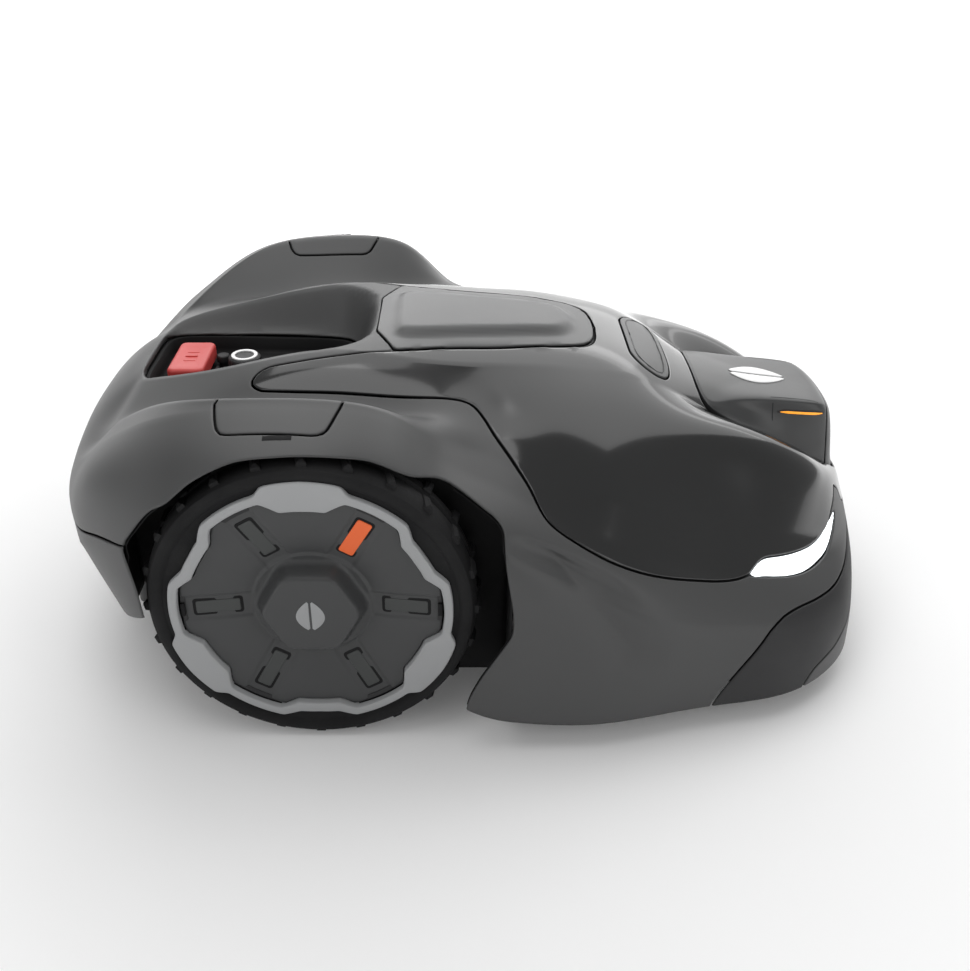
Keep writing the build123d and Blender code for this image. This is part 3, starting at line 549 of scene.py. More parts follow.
def panel(name, mat, keep, drop, nodes, body="shell", slot=None, thick=2.6, round_edge=1.3, lift=0.0, both=True, sides=(1, -1)):
    """A cover cut from the body's form: inside the keep fields, outside the drop fields."""
    s = base
    for f in keep:
        s = s.cut(f, GAP)
    for f in drop:
        s.vals["neg_" + f] = -s.vals[f]
        s = s.cut("neg_" + f, GAP)
    edge = np.full(len(s.pts), 1e9)
    for f in keep:
        edge = np.minimum(edge, s.vals[f] - GAP)
    for f in drop:
        edge = np.minimum(edge, s.vals["neg_" + f] - GAP)
    s.vals["edge"] = edge
    for level in (0.35, 0.8, round_edge, round_edge * 2.2):
        s = s.score("edge", level)
    s = s.tidy()
    d = np.clip(s.vals["edge"], 0, round_edge)
    drop_in = round_edge - np.sqrt(np.maximum(round_edge ** 2 - (round_edge - d) ** 2, 0))
    n = np.stack([s.vals["nx"], s.vals["ny"], s.vals["nz"]], axis=1)
    n /= np.maximum(np.linalg.norm(n, axis=1, keepdims=True), 1e-9)
    p = s.pts + n * (lift - drop_in)[:, None]
    if both:
        count = len(p)
        p2 = np.vstack([p, p * FLIP])
        faces = s.faces + [[i + count for i in f[::-1]] for f in s.faces]
        return build(name, p2, faces, mat, body, slot, nodes, thick=thick, weld=0.02)
    made = []
    for sd in sides:
        q = p * np.array([1, sd, 1])
        faces = s.faces if sd > 0 else [f[::-1] for f in s.faces]
        label = "left" if sd > 0 else "right"
        made.append(build(f"{name}_{label}", q, faces, mat, body, slot, [m.format(label) for m in nodes], thick=thick, weld=0.02))
    return made


cover = panel("cover", "body_grey", [], ["hatch", "hood", "well", "arch", "cap", "rear", "hem", "bumper", "lamp", "module"],
              ["body_shell"], thick=3.0)
panel("tail", "body_grey", ["rear"], ["hem", "arch"], ["rear_skirt"], thick=1.4)
panel("bonnet", "gloss_black", ["hood"], ["hatch", "lamp", "plate", "module", "arch"], ["hood"], thick=2.6)
panel("lid", "satin_grey", ["hatch"], [], ["top_hatch"], thick=2.4)
panel("fender_lid", "body_grey", ["cap"], ["arch"], ["fender_cap_{}"], both=False, slot="satin_grey")
panel("plate", "satin_grey", ["plate"], ["module"], ["name_plate"], slot="silver_plastic", lift=0.6)
panel("nose", "soft_black", ["bumper"], ["lamp", "insert"], ["bumper_pad"], thick=3.0)
panel("nose_insert", "body_grey", ["bumper", "insert"], [], ["bumper_insert"], thick=3.0)
panel("headlamp", "lamp", ["lamp"], ["module"], ["headlights"], slot="white", both=True, thick=2.0, lift=-0.6)
hub = BOXES["tyre_left"]
hub_x, hub_z, hub_r = (hub[0][0] + hub[1][0]) / 2, (hub[0][2] + hub[1][2]) / 2, (hub[1][2] - hub[0][2]) / 2
swept = np.min([np.hypot(x - hub_x + d, z - hub_z) for d in (-6, 0, 6)], axis=0) - hub_r - 6.5
base.vals["skirt"] = np.minimum(z - 44.0, np.maximum(swept, y - 248.0))
panel("under_skin", "liner_black", ["skirt"], ["well", "arch", "hem"], [], slot="soft_black", thick=0.8, lift=-4.0, round_edge=0.4)


# ---------------------------------------------------------------- wheel houses
flank = np.array([p for p in pts if p[1] > 205])


def flank_y(px, pz):
    """How far out the body's side stands at a given x and height."""
    d = np.hypot(flank[:, 0] - px, flank[:, 2] - pz)
    near = np.argsort(d)[:3]
    w = 1 / (d[near] + 0.5)
    return float((flank[near, 1] * w).sum() / w.sum())


def roof_over(px, py):
    """Height of the body's form over a plan point."""
    pick = normal[:, 2] > 0.1
    d = np.hypot(pts[pick][:, 0] - px, pts[pick][:, 1] - abs(py))
    near = np.argsort(d)[:3]
    return float(pts[pick][near, 2].mean())


def wheel_house():
    """The wheel house of the left side: an inner wall with a hub hole and a wall at each end. Towards the front the
    inner wall runs down low as a dark sheet, painted shade for the shadow under the body.
    """
    lo, hi = BOXES["tyre_left"]
    hub_x, hub_z = (lo[0] + hi[0]) / 2, (lo[2] + hi[2]) / 2
    xs = np.linspace(-262, 26, 49)
    tops = [roof_over(px, 191.5) - 5.5 for px in xs]
    # bottom edge of the inner wall; from x -50 forward it drops to 26 mm, a dark sheet standing in for painted shade
    # under the body
    lows = np.interp(xs, [-262, -232, -205, -80, -50, 26], [118, 78, 48, 45, 26, 26])
    grid_pts = np.array([(px, 191.5, low + (top - low) * t) for px, low, top in zip(xs, lows, tops)
                         for t in np.linspace(0, 1, 37)])
    faces = [[i * 37 + j, (i + 1) * 37 + j, (i + 1) * 37 + j + 1, i * 37 + j + 1] for i in range(48) for j in range(36)]
    wall = Skin(grid_pts, faces, {"hub": np.hypot(grid_pts[:, 0] - hub_x, grid_pts[:, 2] - hub_z)}).cut("hub", 43.0)
    ends = []
    for px, z0, z1 in ((25.0, 30.0, 182.0), (-260.5, 112.0, 190.0)):
        zs = np.linspace(z0, z1, 20)
        outer_y = [flank_y(px, w) - 5.0 for w in zs]
        rows = [(px, 191.5 + (oy - 191.5) * t, w) for w, oy in zip(zs, outer_y) for t in np.linspace(0, 1, 6)]
        ends.append((rows, [[i * 6 + j, i * 6 + j + 1, (i + 1) * 6 + j + 1, (i + 1) * 6 + j] for i in range(19) for j in range(5)]))
    return [(wall.pts, wall.faces)] + ends


for k, (p, f) in enumerate(wheel_house()):
    for side, sy in (("left", 1), ("right", -1)):
        q = [(a, b * sy, c) for a, b, c in p]
        build(f"wheel_house_{k + 1}_{side}", q, f, "liner_black", "shell", "soft_black", thick=1.6)

# ---------------------------------------------------------------- helpers for turned and swept pieces
def mirrored(pts, faces):
    """The same piece on the mower's right side."""
    return [(p[0], -p[1], p[2]) for p in pts], [list(f)[::-1] for f in faces]


def both_sides(name, pts, faces, mat, body, slot=None, nodes=(), **finish):
    """One piece on each side of the mower; {} in a body or node name takes the side."""
    for side, data in (("left", (pts, faces)), ("right", mirrored(pts, faces))):
        build(f"{name}_{side}", *data, mat, body.format(side), slot, [n.format(side) for n in nodes], **finish)


def ring_faces(rows, count, closed=False, caps=(False, False)):
    """Faces of a stack of closed rings."""
    faces = []
    for k in range(rows if closed else rows - 1):
        m = (k + 1) % rows
        for i in range(count):
            j = (i + 1) % count
            faces.append([k * count + i, k * count + j, m * count + j, m * count + i])
    if caps[0]:
        faces.append(list(range(count))[::-1])
    if caps[1]:
        faces.append([(rows - 1) * count + i for i in range(count)])
    return faces


def combine(*parts):
    pts, faces = [], []
    for p, f in parts:
        n = len(pts)
        pts += [tuple(q) for q in p]
        faces += [[i + n for i in face] for face in f]
    return pts, faces


def upright(profile, cx, cy, count=72, flute=None):
    """A solid turned about a vertical axis from (radius, z) points, closed at both ends."""
    rings = []
    for r, zz in profile:
        ring = []
        for k in range(count):
            a = 2 * pi * k / count
            q = r + (flute(r, zz, a) if flute else 0)
            ring.append((cx + q * cos(a), cy + q * sin(a), zz))
        rings.append(ring)
    return outward(*loft_rings(rings))


def rounded_box(cx, cy, z0, z1, width, depth, corner, edge=1.0, dish=0.0, turn=0.0):
    """An upright rounded block with softened top edges, its top dished slightly."""
    def outline(w, d, r):
        out = []
        for sx, sy, a0 in ((1, 1, 0), (-1, 1, 90), (-1, -1, 180), (1, -1, 270)):
            for k in range(7):
                a = radians(a0 + 15 * k)
                out.append((sx * (w / 2 - r) + r * cos(a), sy * (d / 2 - r) + r * sin(a)))
        return out
    rings = []
    for k in range(2):
        rings.append([(u, v, (z0, z1 - edge)[k]) for u, v in outline(width, depth, corner)])
    for k in range(1, 5):
        a = radians(22.5 * k)
        inset = edge * (1 - cos(a))
        rings.append([(u, v, z1 - edge + edge * sin(a))
                      for u, v in outline(width - 2 * inset, depth - 2 * inset, max(corner - inset, 0.3))])
    for f in (0.75, 0.45, 0.15):
        rings.append([(u * f, v * f, z1 - dish * (1 - f * f)) for u, v in outline(width - 2 * edge, depth - 2 * edge,
                                                                                  max(corner - edge, 0.3))])
    c, sn = cos(turn), sin(turn)
    rings = [[(cx + u * c - v * sn, cy + u * sn + v * c, w) for u, v, w in ring] for ring in rings]
    return outward(*loft_rings(rings))


# ---------------------------------------------------------------- drive wheels
TYRE_LO, TYRE_HI = BOXES["tyre_left"]
AXLE_X, AXLE_Z = (TYRE_LO[0] + TYRE_HI[0]) / 2, (TYRE_LO[2] + TYRE_HI[2]) / 2
LUG_TIP = (TYRE_HI[2] - TYRE_LO[2]) / 2
TREAD_R = LUG_TIP - 3.0
IN_Y, OUT_Y = TYRE_LO[1], BOXES["trim_ring_left"][1][1] - 0.6
STEPS = 720


def wheel_point(r, a, y):
    return (AXLE_X + r * cos(a), y, AXLE_Z + r * sin(a))


def turned(profile, count=180):
    """A closed section of (radius, y) points turned about the axle."""
    pts = [wheel_point(r, 2 * pi * k / count, y) for k in range(count) for r, y in profile]
    return outward(pts, ring_faces(count, len(profile), closed=True))


def lug(angle, y0, y1, lean):
    """One tread lug: a block that narrows to its tip and leans along the tread."""
    base, tip = radians(1.9), radians(0.75)
    rings = []
    for r, half, trim in ((TREAD_R - 4, base, 0.0), (TREAD_R + 1.0, base * 0.85, 0.4), (LUG_TIP - 0.7, tip, 2.2),
                          (LUG_TIP, tip * 0.6, 3.0)):
        ring = []
        for y, shift in ((y0 + trim, -lean), (y1 - trim, lean)):
            span = (-half, half) if y == y0 + trim else (half, -half)
            for h in span:
                a = angle + h + radians(shift)
                rr = r if r <= TREAD_R else min(r, LUG_TIP * 0.9999)
                ring.append(wheel_point(rr, a, y))
        rings.append(ring)
    return outward(*loft_rings(rings))


mid_y = (IN_Y + OUT_Y) / 2
side_out = [(97.5, OUT_Y - 5.0), (104, OUT_Y - 4.6), (108.5, OUT_Y - 4.0), (110.8, OUT_Y - 2.0), (113.2, OUT_Y - 1.5),
            (116.4, OUT_Y - 1.7), (118.6, OUT_Y - 3.0), (120.0, OUT_Y - 5.8), (TREAD_R - 0.5, OUT_Y - 9.5), (TREAD_R, OUT_Y - 14)]
groove = [(TREAD_R, mid_y + 4), (TREAD_R - 2.4, mid_y + 2.5), (TREAD_R - 2.4, mid_y - 2.5), (TREAD_R, mid_y - 4)]
side_in = [(TREAD_R, IN_Y + 15), (TREAD_R - 1, IN_Y + 9), (117, IN_Y + 3.5), (113.5, IN_Y + 0.8), (106, IN_Y + 0.4), (97.5, IN_Y + 5)]
parts = [turned(side_out + groove + side_in)]
for k in range(48):
    row = (IN_Y + 3, mid_y - 3.4) if k % 2 else (mid_y + 3.4, OUT_Y - 6)
    parts.append(lug(radians(15.0 * (k // 2)), row[0], row[1], 0.7 if k % 2 else -0.7))
both_sides("tread", *combine(*parts), "tread_rubber", "wheel_{}", "tread_rubber", ["tyre_{}"], smooth=32)


def lobed(keys, soften=5):
    """Radius all round from (degrees off a lobe, radius) keys, repeated three times, its corners softened."""
    half = np.array(keys, float)
    a = np.degrees(2 * pi * np.arange(STEPS) / STEPS)
    off = np.abs((a - 90 + 60) % 120 - 60)
    r = np.interp(off, half[:, 0], half[:, 1])
    kernel = np.hanning(soften + 2)[1:-1]
    kernel /= kernel.sum()
    pad = len(kernel) // 2
    return np.convolve(np.concatenate([r[-pad:], r, r[:pad]]), kernel, "valid")


RIM_OUT = lobed([(0, 111), (14.3, 110.4), (18.3, 104.4), (44, 104.4), (51, 97.8), (60, 97)], 7)
RIM_IN = lobed([(0, 87.3), (10.5, 87.6), (17.8, 97.8), (42.5, 97.6), (49.5, 89), (60, 88.4)], 7)
ANGLES = 2 * pi * np.arange(STEPS) / STEPS


def band(r, y):
    return [wheel_point(r[i], ANGLES[i], y if np.isscalar(y) else y[i]) for i in range(STEPS)]


wide = RIM_OUT - RIM_IN
rings = [band(RIM_IN, OUT_Y - 7), band(RIM_IN, OUT_Y - 0.9), band(RIM_IN + 0.5, OUT_Y - 0.2), band(RIM_IN + 1.1, OUT_Y),
         band(RIM_IN + wide * 0.5, OUT_Y + 0.012 * wide), band(RIM_OUT - 1.1, OUT_Y), band(RIM_OUT - 0.5, OUT_Y - 0.2),
         band(RIM_OUT, OUT_Y - 0.9), band(RIM_OUT, OUT_Y - 7)]
both_sides("trim", *outward([p for r in rings for p in r], ring_faces(len(rings), STEPS, closed=True)),
           "silver_plastic", "wheel_{}", "silver_plastic", ["trim_ring_{}"], smooth=40)


def hub_distance(r, a):
    """Distance out from the axle in hexagonal steps, its corners eased."""
    d = np.array([np.maximum(r * np.cos(a - radians(30 + 60 * k)), 0) for k in range(6)])
    return (d ** 14).sum(0) ** (1 / 14)


def cap_height(r, a):
    """How far out the wheel cover stands, from the dish up to the hexagonal hub."""
    dish = np.interp(r, [0, 42, 48, 62, 80, 92, 100], [-13.5, -13.5, -12.6, -10.2, -8.0, -6.6, -6.2])
    off = np.abs((np.degrees(a) + 30) % 60 - 30)
    across = r * np.sin(np.radians(off))
    facet = smoothstep(9.4, 11.6, across) * smoothstep(40, 50, r)
    belly = 1.1 * np.clip(1 - (off - 30) ** 2 / 500, 0, 1) * smoothstep(42, 70, r)
    collar = 1.6 * smoothstep(46, 43.5, r)
    hub = hub_distance(r, a)
    rise = smoothstep(38.6, 31.0, hub)
    top = 3.7 - 0.0009 * hub ** 2
    low = dish + 1.2 * facet + belly * facet + collar
    return low * (1 - rise) + top * rise


CAP_STEPS = 360
cap_angles = 2 * pi * np.arange(CAP_STEPS) / CAP_STEPS
edge_r = RIM_IN[::2] - 0.9
radii = [3, 12, 20, 26, 29, 30.5, 31.5, 32.5, 33.5, 34.5, 35.5, 36.5, 37.5, 38.5, 39.5, 41, 42.5, 43.5, 44.5, 45.5, 47, 49,
         52, 56, 60, 64, 68, 72, 76, 80, 83]
rings = []
for r in radii:
    rr = np.full(CAP_STEPS, float(r))
    h = cap_height(rr, cap_angles)
    rings.append([wheel_point(rr[i], cap_angles[i], OUT_Y + h[i]) for i in range(CAP_STEPS)])
for t, sink in ((0.3, 0), (0.6, 0), (0.85, 0), (0.96, 0.1), (0.99, 0.5), (1.0, 1.4), (1.0, 5.5)):
    rr = 83 + (edge_r - 83) * t
    h = cap_height(rr, cap_angles) - sink
    rings.append([wheel_point(rr[i], cap_angles[i], OUT_Y + h[i]) for i in range(CAP_STEPS)])
back = [wheel_point(80, a, OUT_Y - 17) for a in cap_angles]
rings.append(back)
both_sides("cap", *outward(*loft_rings(rings)), "cap_grey", "wheel_{}", "soft_black", ["wheel_cap_{}"], smooth=50)


def radial_plate(angle, r0, r1, width, lift, depth, corner, edge):
    """A rounded plate along a spoke, following the slope of the wheel cover."""
    a = radians(angle)
    pts, faces = rounded_box(0, 0, -depth, lift, r1 - r0, width, corner, edge)
    out = []
    slope = (cap_height(np.array([r1]), np.array([a]))[0] - cap_height(np.array([r0]), np.array([a]))[0]) / (r1 - r0)
    base_h = cap_height(np.array([r0]), np.array([a]))[0]
    for u, v, w in pts:
        r = (r0 + r1) / 2 + u
        y = OUT_Y + base_h + slope * (r - r0) + w
        out.append((AXLE_X + r * cos(a) - v * sin(a), y, AXLE_Z + r * sin(a) + v * cos(a)))
    return outward(out, faces)


# black rims round the slots: painted shade standing for the shaded edges of the slots' recesses
shade_rims = [radial_plate(60 * k, 51.4, 87.8, 15.2, 0.3, 4, 2.6, 0.25) for k in range(6)]
slots = [radial_plate(60 * k, 53.4, 85.6, 11.0, 0.75, 4, 1.6, 0.5) for k in range(6) if k != 1]
clips = []
for k in (0, 3):
    a = radians(60 * k)
    pts, faces = rounded_box(0, 0, -8, -3.4, 3.0, 11, 0.6, 0.4)
    clips.append(outward([(AXLE_X + (94.6 + u) * cos(a) - v * sin(a), OUT_Y + w, AXLE_Z + (94.6 + u) * sin(a) + v * cos(a))
                          for u, v, w in pts], faces))
# the black rims built here are painted shade round the slots; the edge clips go in the same piece
both_sides("cap_frames", *combine(*shade_rims, *clips), "liner_black", "wheel_{}", "soft_black", smooth=40)
both_sides("cap_slots", *combine(*slots), "slot_grey", "wheel_{}", "soft_black", ["cap_inserts_{}"], smooth=40)
both_sides("cap_flash", *radial_plate(60, 53.0, 86.0, 11.6, 1.0, 4, 1.8, 0.5), "orange", "wheel_{}", "orange",
           ["cap_accent_{}"], smooth=40)


def leaf(length, width, points=24):
    """A pointed leaf outline along the first axis."""
    up = [(length * (t - 0.5), width / 2 * sin(pi * t) ** 0.8 * (1 - 0.25 * (t - 0.5))) for t in np.linspace(0, 1, points)]
    return up


def leaf_badge(length, width, gap, place, raise_by, sink=1.0):
    """A plain leaf mark: two raised halves with a fine vein between them."""
    parts = []
    for side in (1, -1):
        edge = [(u, side * max(v, gap)) for u, v in leaf(length, width) if v > gap * 0.7]
        vein = [(u, side * gap) for u, _ in reversed(edge)][1:-1]
        loop = edge + vein
        cu = sum(u for u, _ in loop) / len(loop)
        cv = sum(v for _, v in loop) / len(loop)
        rings = []
        for w, f in ((-sink, 1.0), (raise_by - 0.25, 1.0), (raise_by, 0.93), (raise_by + 0.05, 0.4)):
            rings.append([place(cu + (u - cu) * f, cv + (v - cv) * f, w) for u, v in loop])
        parts.append(outward(*loft_rings(rings)))
    return combine(*parts)


both_sides("hub_leaf", *leaf_badge(28, 21, 0.8, lambda u, v, w: (AXLE_X + v, OUT_Y + 3.4 + w, AXLE_Z + u), 0.5),
           "mark_grey", "wheel_{}", "silver_plastic", smooth=40)

# ---------------------------------------------------------------- sensor module on the nose
upper_pts = np.array([p for p, n in zip(base.pts, normal) if n[2] > 0.1])


def form_z(px, py):
    """Height of the body's form over a plan point."""
    d = np.hypot(upper_pts[:, 0] - px, upper_pts[:, 1] - abs(py))
    near = np.argsort(d)[:4]
    w = 1 / (d[near] + 0.3)
    return float((upper_pts[near, 2] * w).sum() / w.sum())


SEAM_KEYS = [(192.5, 0), (192.3, 38), (196.5, 59), (217, 66), (240.6, 64), (264, 63.2), (284, 61), (304, 54), (320, 43.6),
             (329, 28), (332, 0)]
WALLS = {
    "low": [None, None, None, (218, 63.5, 191), (241, 61.5, 180), (263, 58, 170), (283, 54.5, 161), (303, 51.5, 151),
            (317, 46, 141), (324, 28, 134), (326, 0, 132)],
    "mid": [None, None, None, (217, 60, 196), (241, 56, 186), (264, 53.5, 180), (284, 52, 174.5), (303, 50, 168),
            (315, 44, 162), (320.5, 28, 158), (322, 0, 156)],
    "ledge": [None, None, None, (217, 55, 199.5), (241, 49.8, 192), (264, 49, 189.5), (284, 48.4, 187.5), (302, 47, 185.5),
              (311.5, 41, 183), (316.5, 27, 180.5), (318, 0, 179.5)],
    "brow": [None, None, None, (217, 51.5, 202), (240, 47.6, 198.8), (264, 46.8, 196.8), (284, 46.3, 195), (300, 45, 193),
             (307.5, 38, 190), (312.5, 25, 188), (314, 0, 187.3)],
    "top": [None, None, None, (217, 49, 203.2), (240, 45.8, 201.4), (264, 45.2, 199.6), (282, 44.8, 197.9), (297, 43.6, 196),
            (304, 36.5, 193), (308.5, 24, 191), (310, 0, 190.3)],
    "crown": [(200, 0, 210.5), (200, 30, 208.5), (206, 40, 205.5), (219, 41, 204.2), (240, 40, 202.4), (262, 39.4, 200.6),
              (279, 38.8, 198.8), (291, 37.6, 197.3), (299.5, 31.5, 195.8), (304.5, 20, 194.8), (305.5, 0, 194.4)],
    "inner": [(216, 0, 207.5), (216, 20, 206.5), (221, 28, 205.2), (230, 28, 204.2), (243, 27, 202.8), (258, 26.5, 201.3),
              (270, 25.5, 200), (279, 23, 199), (284, 19, 198.5), (287, 11, 198.2), (288, 0, 198)],
}


def module_rings():
    seam = [(px, py, form_z(px, py)) for px, py in SEAM_KEYS]
    under = [(px - (2 if i > 7 else 0), max(py - (5.5 if 4 <= i <= 6 else 2.0), 0), pz - 6) for i, (px, py, pz) in enumerate(seam)]
    lip = [(px - (0.6 if i > 7 else -0.5), max(py - (3.5 if 4 <= i <= 6 else 0.6), 0) if py else 0, pz + (0 if i > 2 else 0.2))
           for i, (px, py, pz) in enumerate(seam)]
    rings = [under, lip]
    for key in ("low", "mid", "ledge", "brow", "top", "crown", "inner"):
        ring = []
        for i, p in enumerate(WALLS[key]):
            if p is None:
                f = {"low": 0.5, "mid": 0.8, "ledge": 1.2, "brow": 1.8, "top": 2.6}[key]
                px, py, pz = lip[i]
                p = (px + f, max(py - f * 0.8, 0) if py else 0, pz + 0.35 * f)
            ring.append(p)
        rings.append(ring)
    return [ring + [(px, -py, pz) for px, py, pz in ring[-2:0:-1]] for ring in rings]


pts_m, faces_m = loft_rings(module_rings(), cap_start=False)
pts_m, faces_m = outward(pts_m, faces_m)
me = bpy.data.meshes.new("cage")
me.from_pydata([tuple(p) for p in pts_m], [], faces_m)
cage = bpy.data.objects.new("cage", me)
scene_col = bpy.context.scene.collection
scene_col.objects.link(cage)
sub = cage.modifiers.new("s", "SUBSURF")
sub.levels = 4
sub.boundary_smooth = "ALL"
dense = cage.evaluated_get(bpy.context.evaluated_depsgraph_get()).data
m_pts = np.array([v.co for v in dense.vertices])
m_nrm = np.array([v.normal for v in dense.vertices])
m_faces = [list(p.vertices) for p in dense.polygons]
bpy.data.objects.remove(cage)
if m_nrm[np.argmax(m_pts[:, 2]), 2] < 0:
    m_nrm = -m_nrm
    m_faces = [f[::-1] for f in m_faces]
split = m_pts[:, 0] - (303.5 + (200 - m_pts[:, 2]) * 0.12) - 2.0 * (1 - np.clip(np.abs(m_pts[:, 1]) / 55, 0, 1) ** 2) * 3
roof = Skin(m_pts, m_faces, {"front": split, "nx": m_nrm[:, 0], "ny": m_nrm[:, 1], "nz": m_nrm[:, 2]})
roof.vals["rear"] = -roof.vals["front"]


def skin_piece(name, s, field_name, mat, body, slot, nodes, gap=0.35, round_edge=0.8, thick=2.0):
    """Part of a skin on one side of a seam, its edge rounded over."""
    s = s.cut(field_name, gap)
    s.vals["edge"] = s.vals[field_name] - gap
    for level in (0.2, 0.5, round_edge, round_edge * 2):
        s = s.score("edge", level)
    s = s.tidy()
    d = np.clip(s.vals["edge"], 0, round_edge)
    sink = round_edge - np.sqrt(np.maximum(round_edge ** 2 - (round_edge - d) ** 2, 0))
    n = np.stack([s.vals["nx"], s.vals["ny"], s.vals["nz"]], axis=1)
    n /= np.maximum(np.linalg.norm(n, axis=1, keepdims=True), 1e-9)
    return build(name, s.pts - n * sink[:, None], s.faces, mat, body, slot, nodes, thick=thick, weld=0.01, smooth=60)


skin_piece("module_roof", roof, "rear", "satin_grey", "shell", "satin_grey", ["sensor_module"])
skin_piece("module_bezel", roof, "front", "satin_grey", "shell", "satin_grey", [])


def on_roof(px, pz, side):
    """The point of the module's side wall at a given x and z."""
    pick = (m_pts[:, 1] * side > 30) & (np.abs(m_pts[:, 0] - px) < 5) & (np.abs(m_pts[:, 2] - pz) < 5)
    q = m_pts[pick]
    d = np.hypot(q[:, 0] - px, q[:, 2] - pz)
    near = np.argsort(d)[:3]
    w = 1 / (d[near] + 0.2)
    return float((np.abs(q[near, 1]) * w).sum() / w.sum())


def roof_z(px, py):
    pick = (m_nrm[:, 2] > 0.5)
    q = m_pts[pick]
    d = np.hypot(q[:, 0] - px, q[:, 1] - py)
    near = np.argsort(d)[:4]
    w = 1 / (d[near] + 0.2)
    return float((q[near, 2] * w).sum() / w.sum())


strips, housings = [], []
for side in (1, -1):
    for target, grow, out in ((housings, 1.3, 0.25), (strips, 0.0, 0.7)):
        rings = []
        for k in range(13):
            t = k / 12
            px = 264.5 - grow * 2 + (38 + grow * 3) * t
            pz = 190.0 - 3.6 * t
            py = on_roof(px, pz, side)
            h = (1.1 + grow) * min(1, 0.35 + 4 * min(t, 1 - t))
            rings.append([(px, side * (py - 1.5), pz - h), (px, side * (py + out * 0.7), pz - h),
                          (px, side * (py + out), pz - h * 0.6), (px, side * (py + out), pz + h * 0.6),
                          (px, side * (py + out * 0.7), pz + h), (px, side * (py - 1.5), pz + h)])
        target.append(outward(*loft_rings(rings)))
build("marker_strips", *combine(*strips), "amber", "shell", "amber", ["marker_lights"], smooth=40)
build("marker_beds", *combine(*housings), "soft_black", "shell", "soft_black", smooth=40)
joints = []
for side in (1, -1):
    wall = [(257.5, side * on_roof(257.5, pz, side), pz) for pz in np.linspace(197.5, 183.5, 9)]
    joints.append(outward(*loft_rings([[(px - 0.5, py, pz), (px + 0.5, py, pz), (px + 0.5, py + side * 0.22, pz),
                                        (px - 0.5, py + side * 0.22, pz)] for px, py, pz in wall])))
    rail = [(256.5 + 4.2 * k, side * (41.6 - 0.12 * k)) for k in range(11)]
    joints.append(outward(*loft_rings([[(px, py - 0.4, roof_z(px, py) - 0.6), (px, py + 0.4, roof_z(px, py) - 0.6),
                                        (px, py + 0.4, roof_z(px, py) + 0.14), (px, py - 0.4, roof_z(px, py) + 0.14)]
                                       for px, py in rail])))
build("module_joints", *combine(*joints), "soft_black", "shell", "soft_black", smooth=40)
build("nose_leaf", *leaf_badge(54, 32, 1.2, lambda u, v, w: (254 + u, v, roof_z(254 + u, v) + w), 0.9), "white", "shell", "white",
      ["emblem"], smooth=40)

# ---------------------------------------------------------------- name plate frame, cap catches
PLATE_IN = smooth_outline([(138, -30), (138.1, 28), (138.8, 35), (141.5, 43), (147.5, 51), (153.5, 54), (158, 52),
                           (160.6, 46), (162.6, 34), (163.6, 16), (163.8, -30)], corners=(0, 10))


def line_piece(name, plan, width, lift, mat, slot, sink=1.0):
    """A fine raised line that follows a plan path over the body's form."""
    rings = []
    for i, (px, py) in enumerate(plan):
        a = plan[max(i - 1, 0)]
        b = plan[min(i + 1, len(plan) - 1)]
        d = Vector((b[0] - a[0], b[1] - a[1])).normalized()
        nrm = Vector((-d.y, d.x))
        ring = []
        for off, up in ((-width / 2, -sink), (-width / 2, lift * 0.6), (-width / 4, lift), (width / 4, lift),
                        (width / 2, lift * 0.6), (width / 2, -sink)):
            qx, qy = px + nrm.x * off, py + nrm.y * off
            ring.append((qx, qy, form_z(qx, qy) + up))
        rings.append(ring)
    return build(name, *outward(*loft_rings(rings)), mat, "shell", slot, smooth=50)


full = [p for p in PLATE_IN if p[1] > 0]
frame_line = [tuple(p) for p in full] + [(p[0], -p[1]) for p in full[::-1]]
line_piece("plate_line", frame_line + [frame_line[0], frame_line[1]], 1.3, 1.25, "cap_grey", "soft_black", 0.2)

for side in (1, -1):
    catch = line_piece(f"cap_catch_{'left' if side > 0 else 'right'}",
                       [(-147 + 2 * k, side * 225.3) for k in range(11)], 4.0, 0.35, "liner_black", "soft_black")

# ---------------------------------------------------------------- controls
TRAY_Z = BOXES["status_light"][1][2] - 2.0


def tray_ring(inset, height):
    """The control recess outline, drawn in towards its middle."""
    loop = smooth_outline(whole([tuple(p) for p in WELL if p[1] >= 0]), step=5)
    mid_x = -192.0
    out = []
    for px, py in loop:
        d = np.hypot(px - mid_x, py)
        f = max(0.05, 1 - inset / d)
        out.append((mid_x + (px - mid_x) * f, py * f, height))
    return out


tray = [tray_ring(-1.2, 215.5), tray_ring(-1.2, 217.3), tray_ring(1.8, 217.3), tray_ring(2.6, 216.2), tray_ring(3.6, TRAY_Z + 4),
        tray_ring(4.6, TRAY_Z + 1.2), tray_ring(6.6, TRAY_Z), tray_ring(20, TRAY_Z), tray_ring(34, TRAY_Z - 0.1)]
build("control_tray", *outward(*loft_rings(tray, cap_start=False)), "liner_black", "shell", "soft_black", ["control_panel"],
      smooth=45, thick=1.5)
STOP_LO, STOP_HI = BOXES["stop_button"]
stop_x = (STOP_LO[0] + STOP_HI[0]) / 2
stop_parts = [rounded_box(stop_x, 0, STOP_HI[2] - 12.2, STOP_HI[2], STOP_HI[0] - STOP_LO[0], STOP_HI[1] - STOP_LO[1], 6, 3.0, 0.9)]
for k in (-1, 0, 1):
    stop_parts.append(rounded_box(stop_x, 9 * k, STOP_HI[2] - 3, STOP_HI[2] + 0.1 - 0.5 * abs(k), 11, 2.4, 1.1, 0.5))
build("stop_pad", *combine(*stop_parts), "red", "stop_button", "red", ["stop_button"], smooth=45)
DIAL_LO, DIAL_HI = BOXES["mode_dial"]
dial_x = (DIAL_LO[0] + DIAL_HI[0]) / 2
dial_z = BOXES["dial_ring"][1][2]
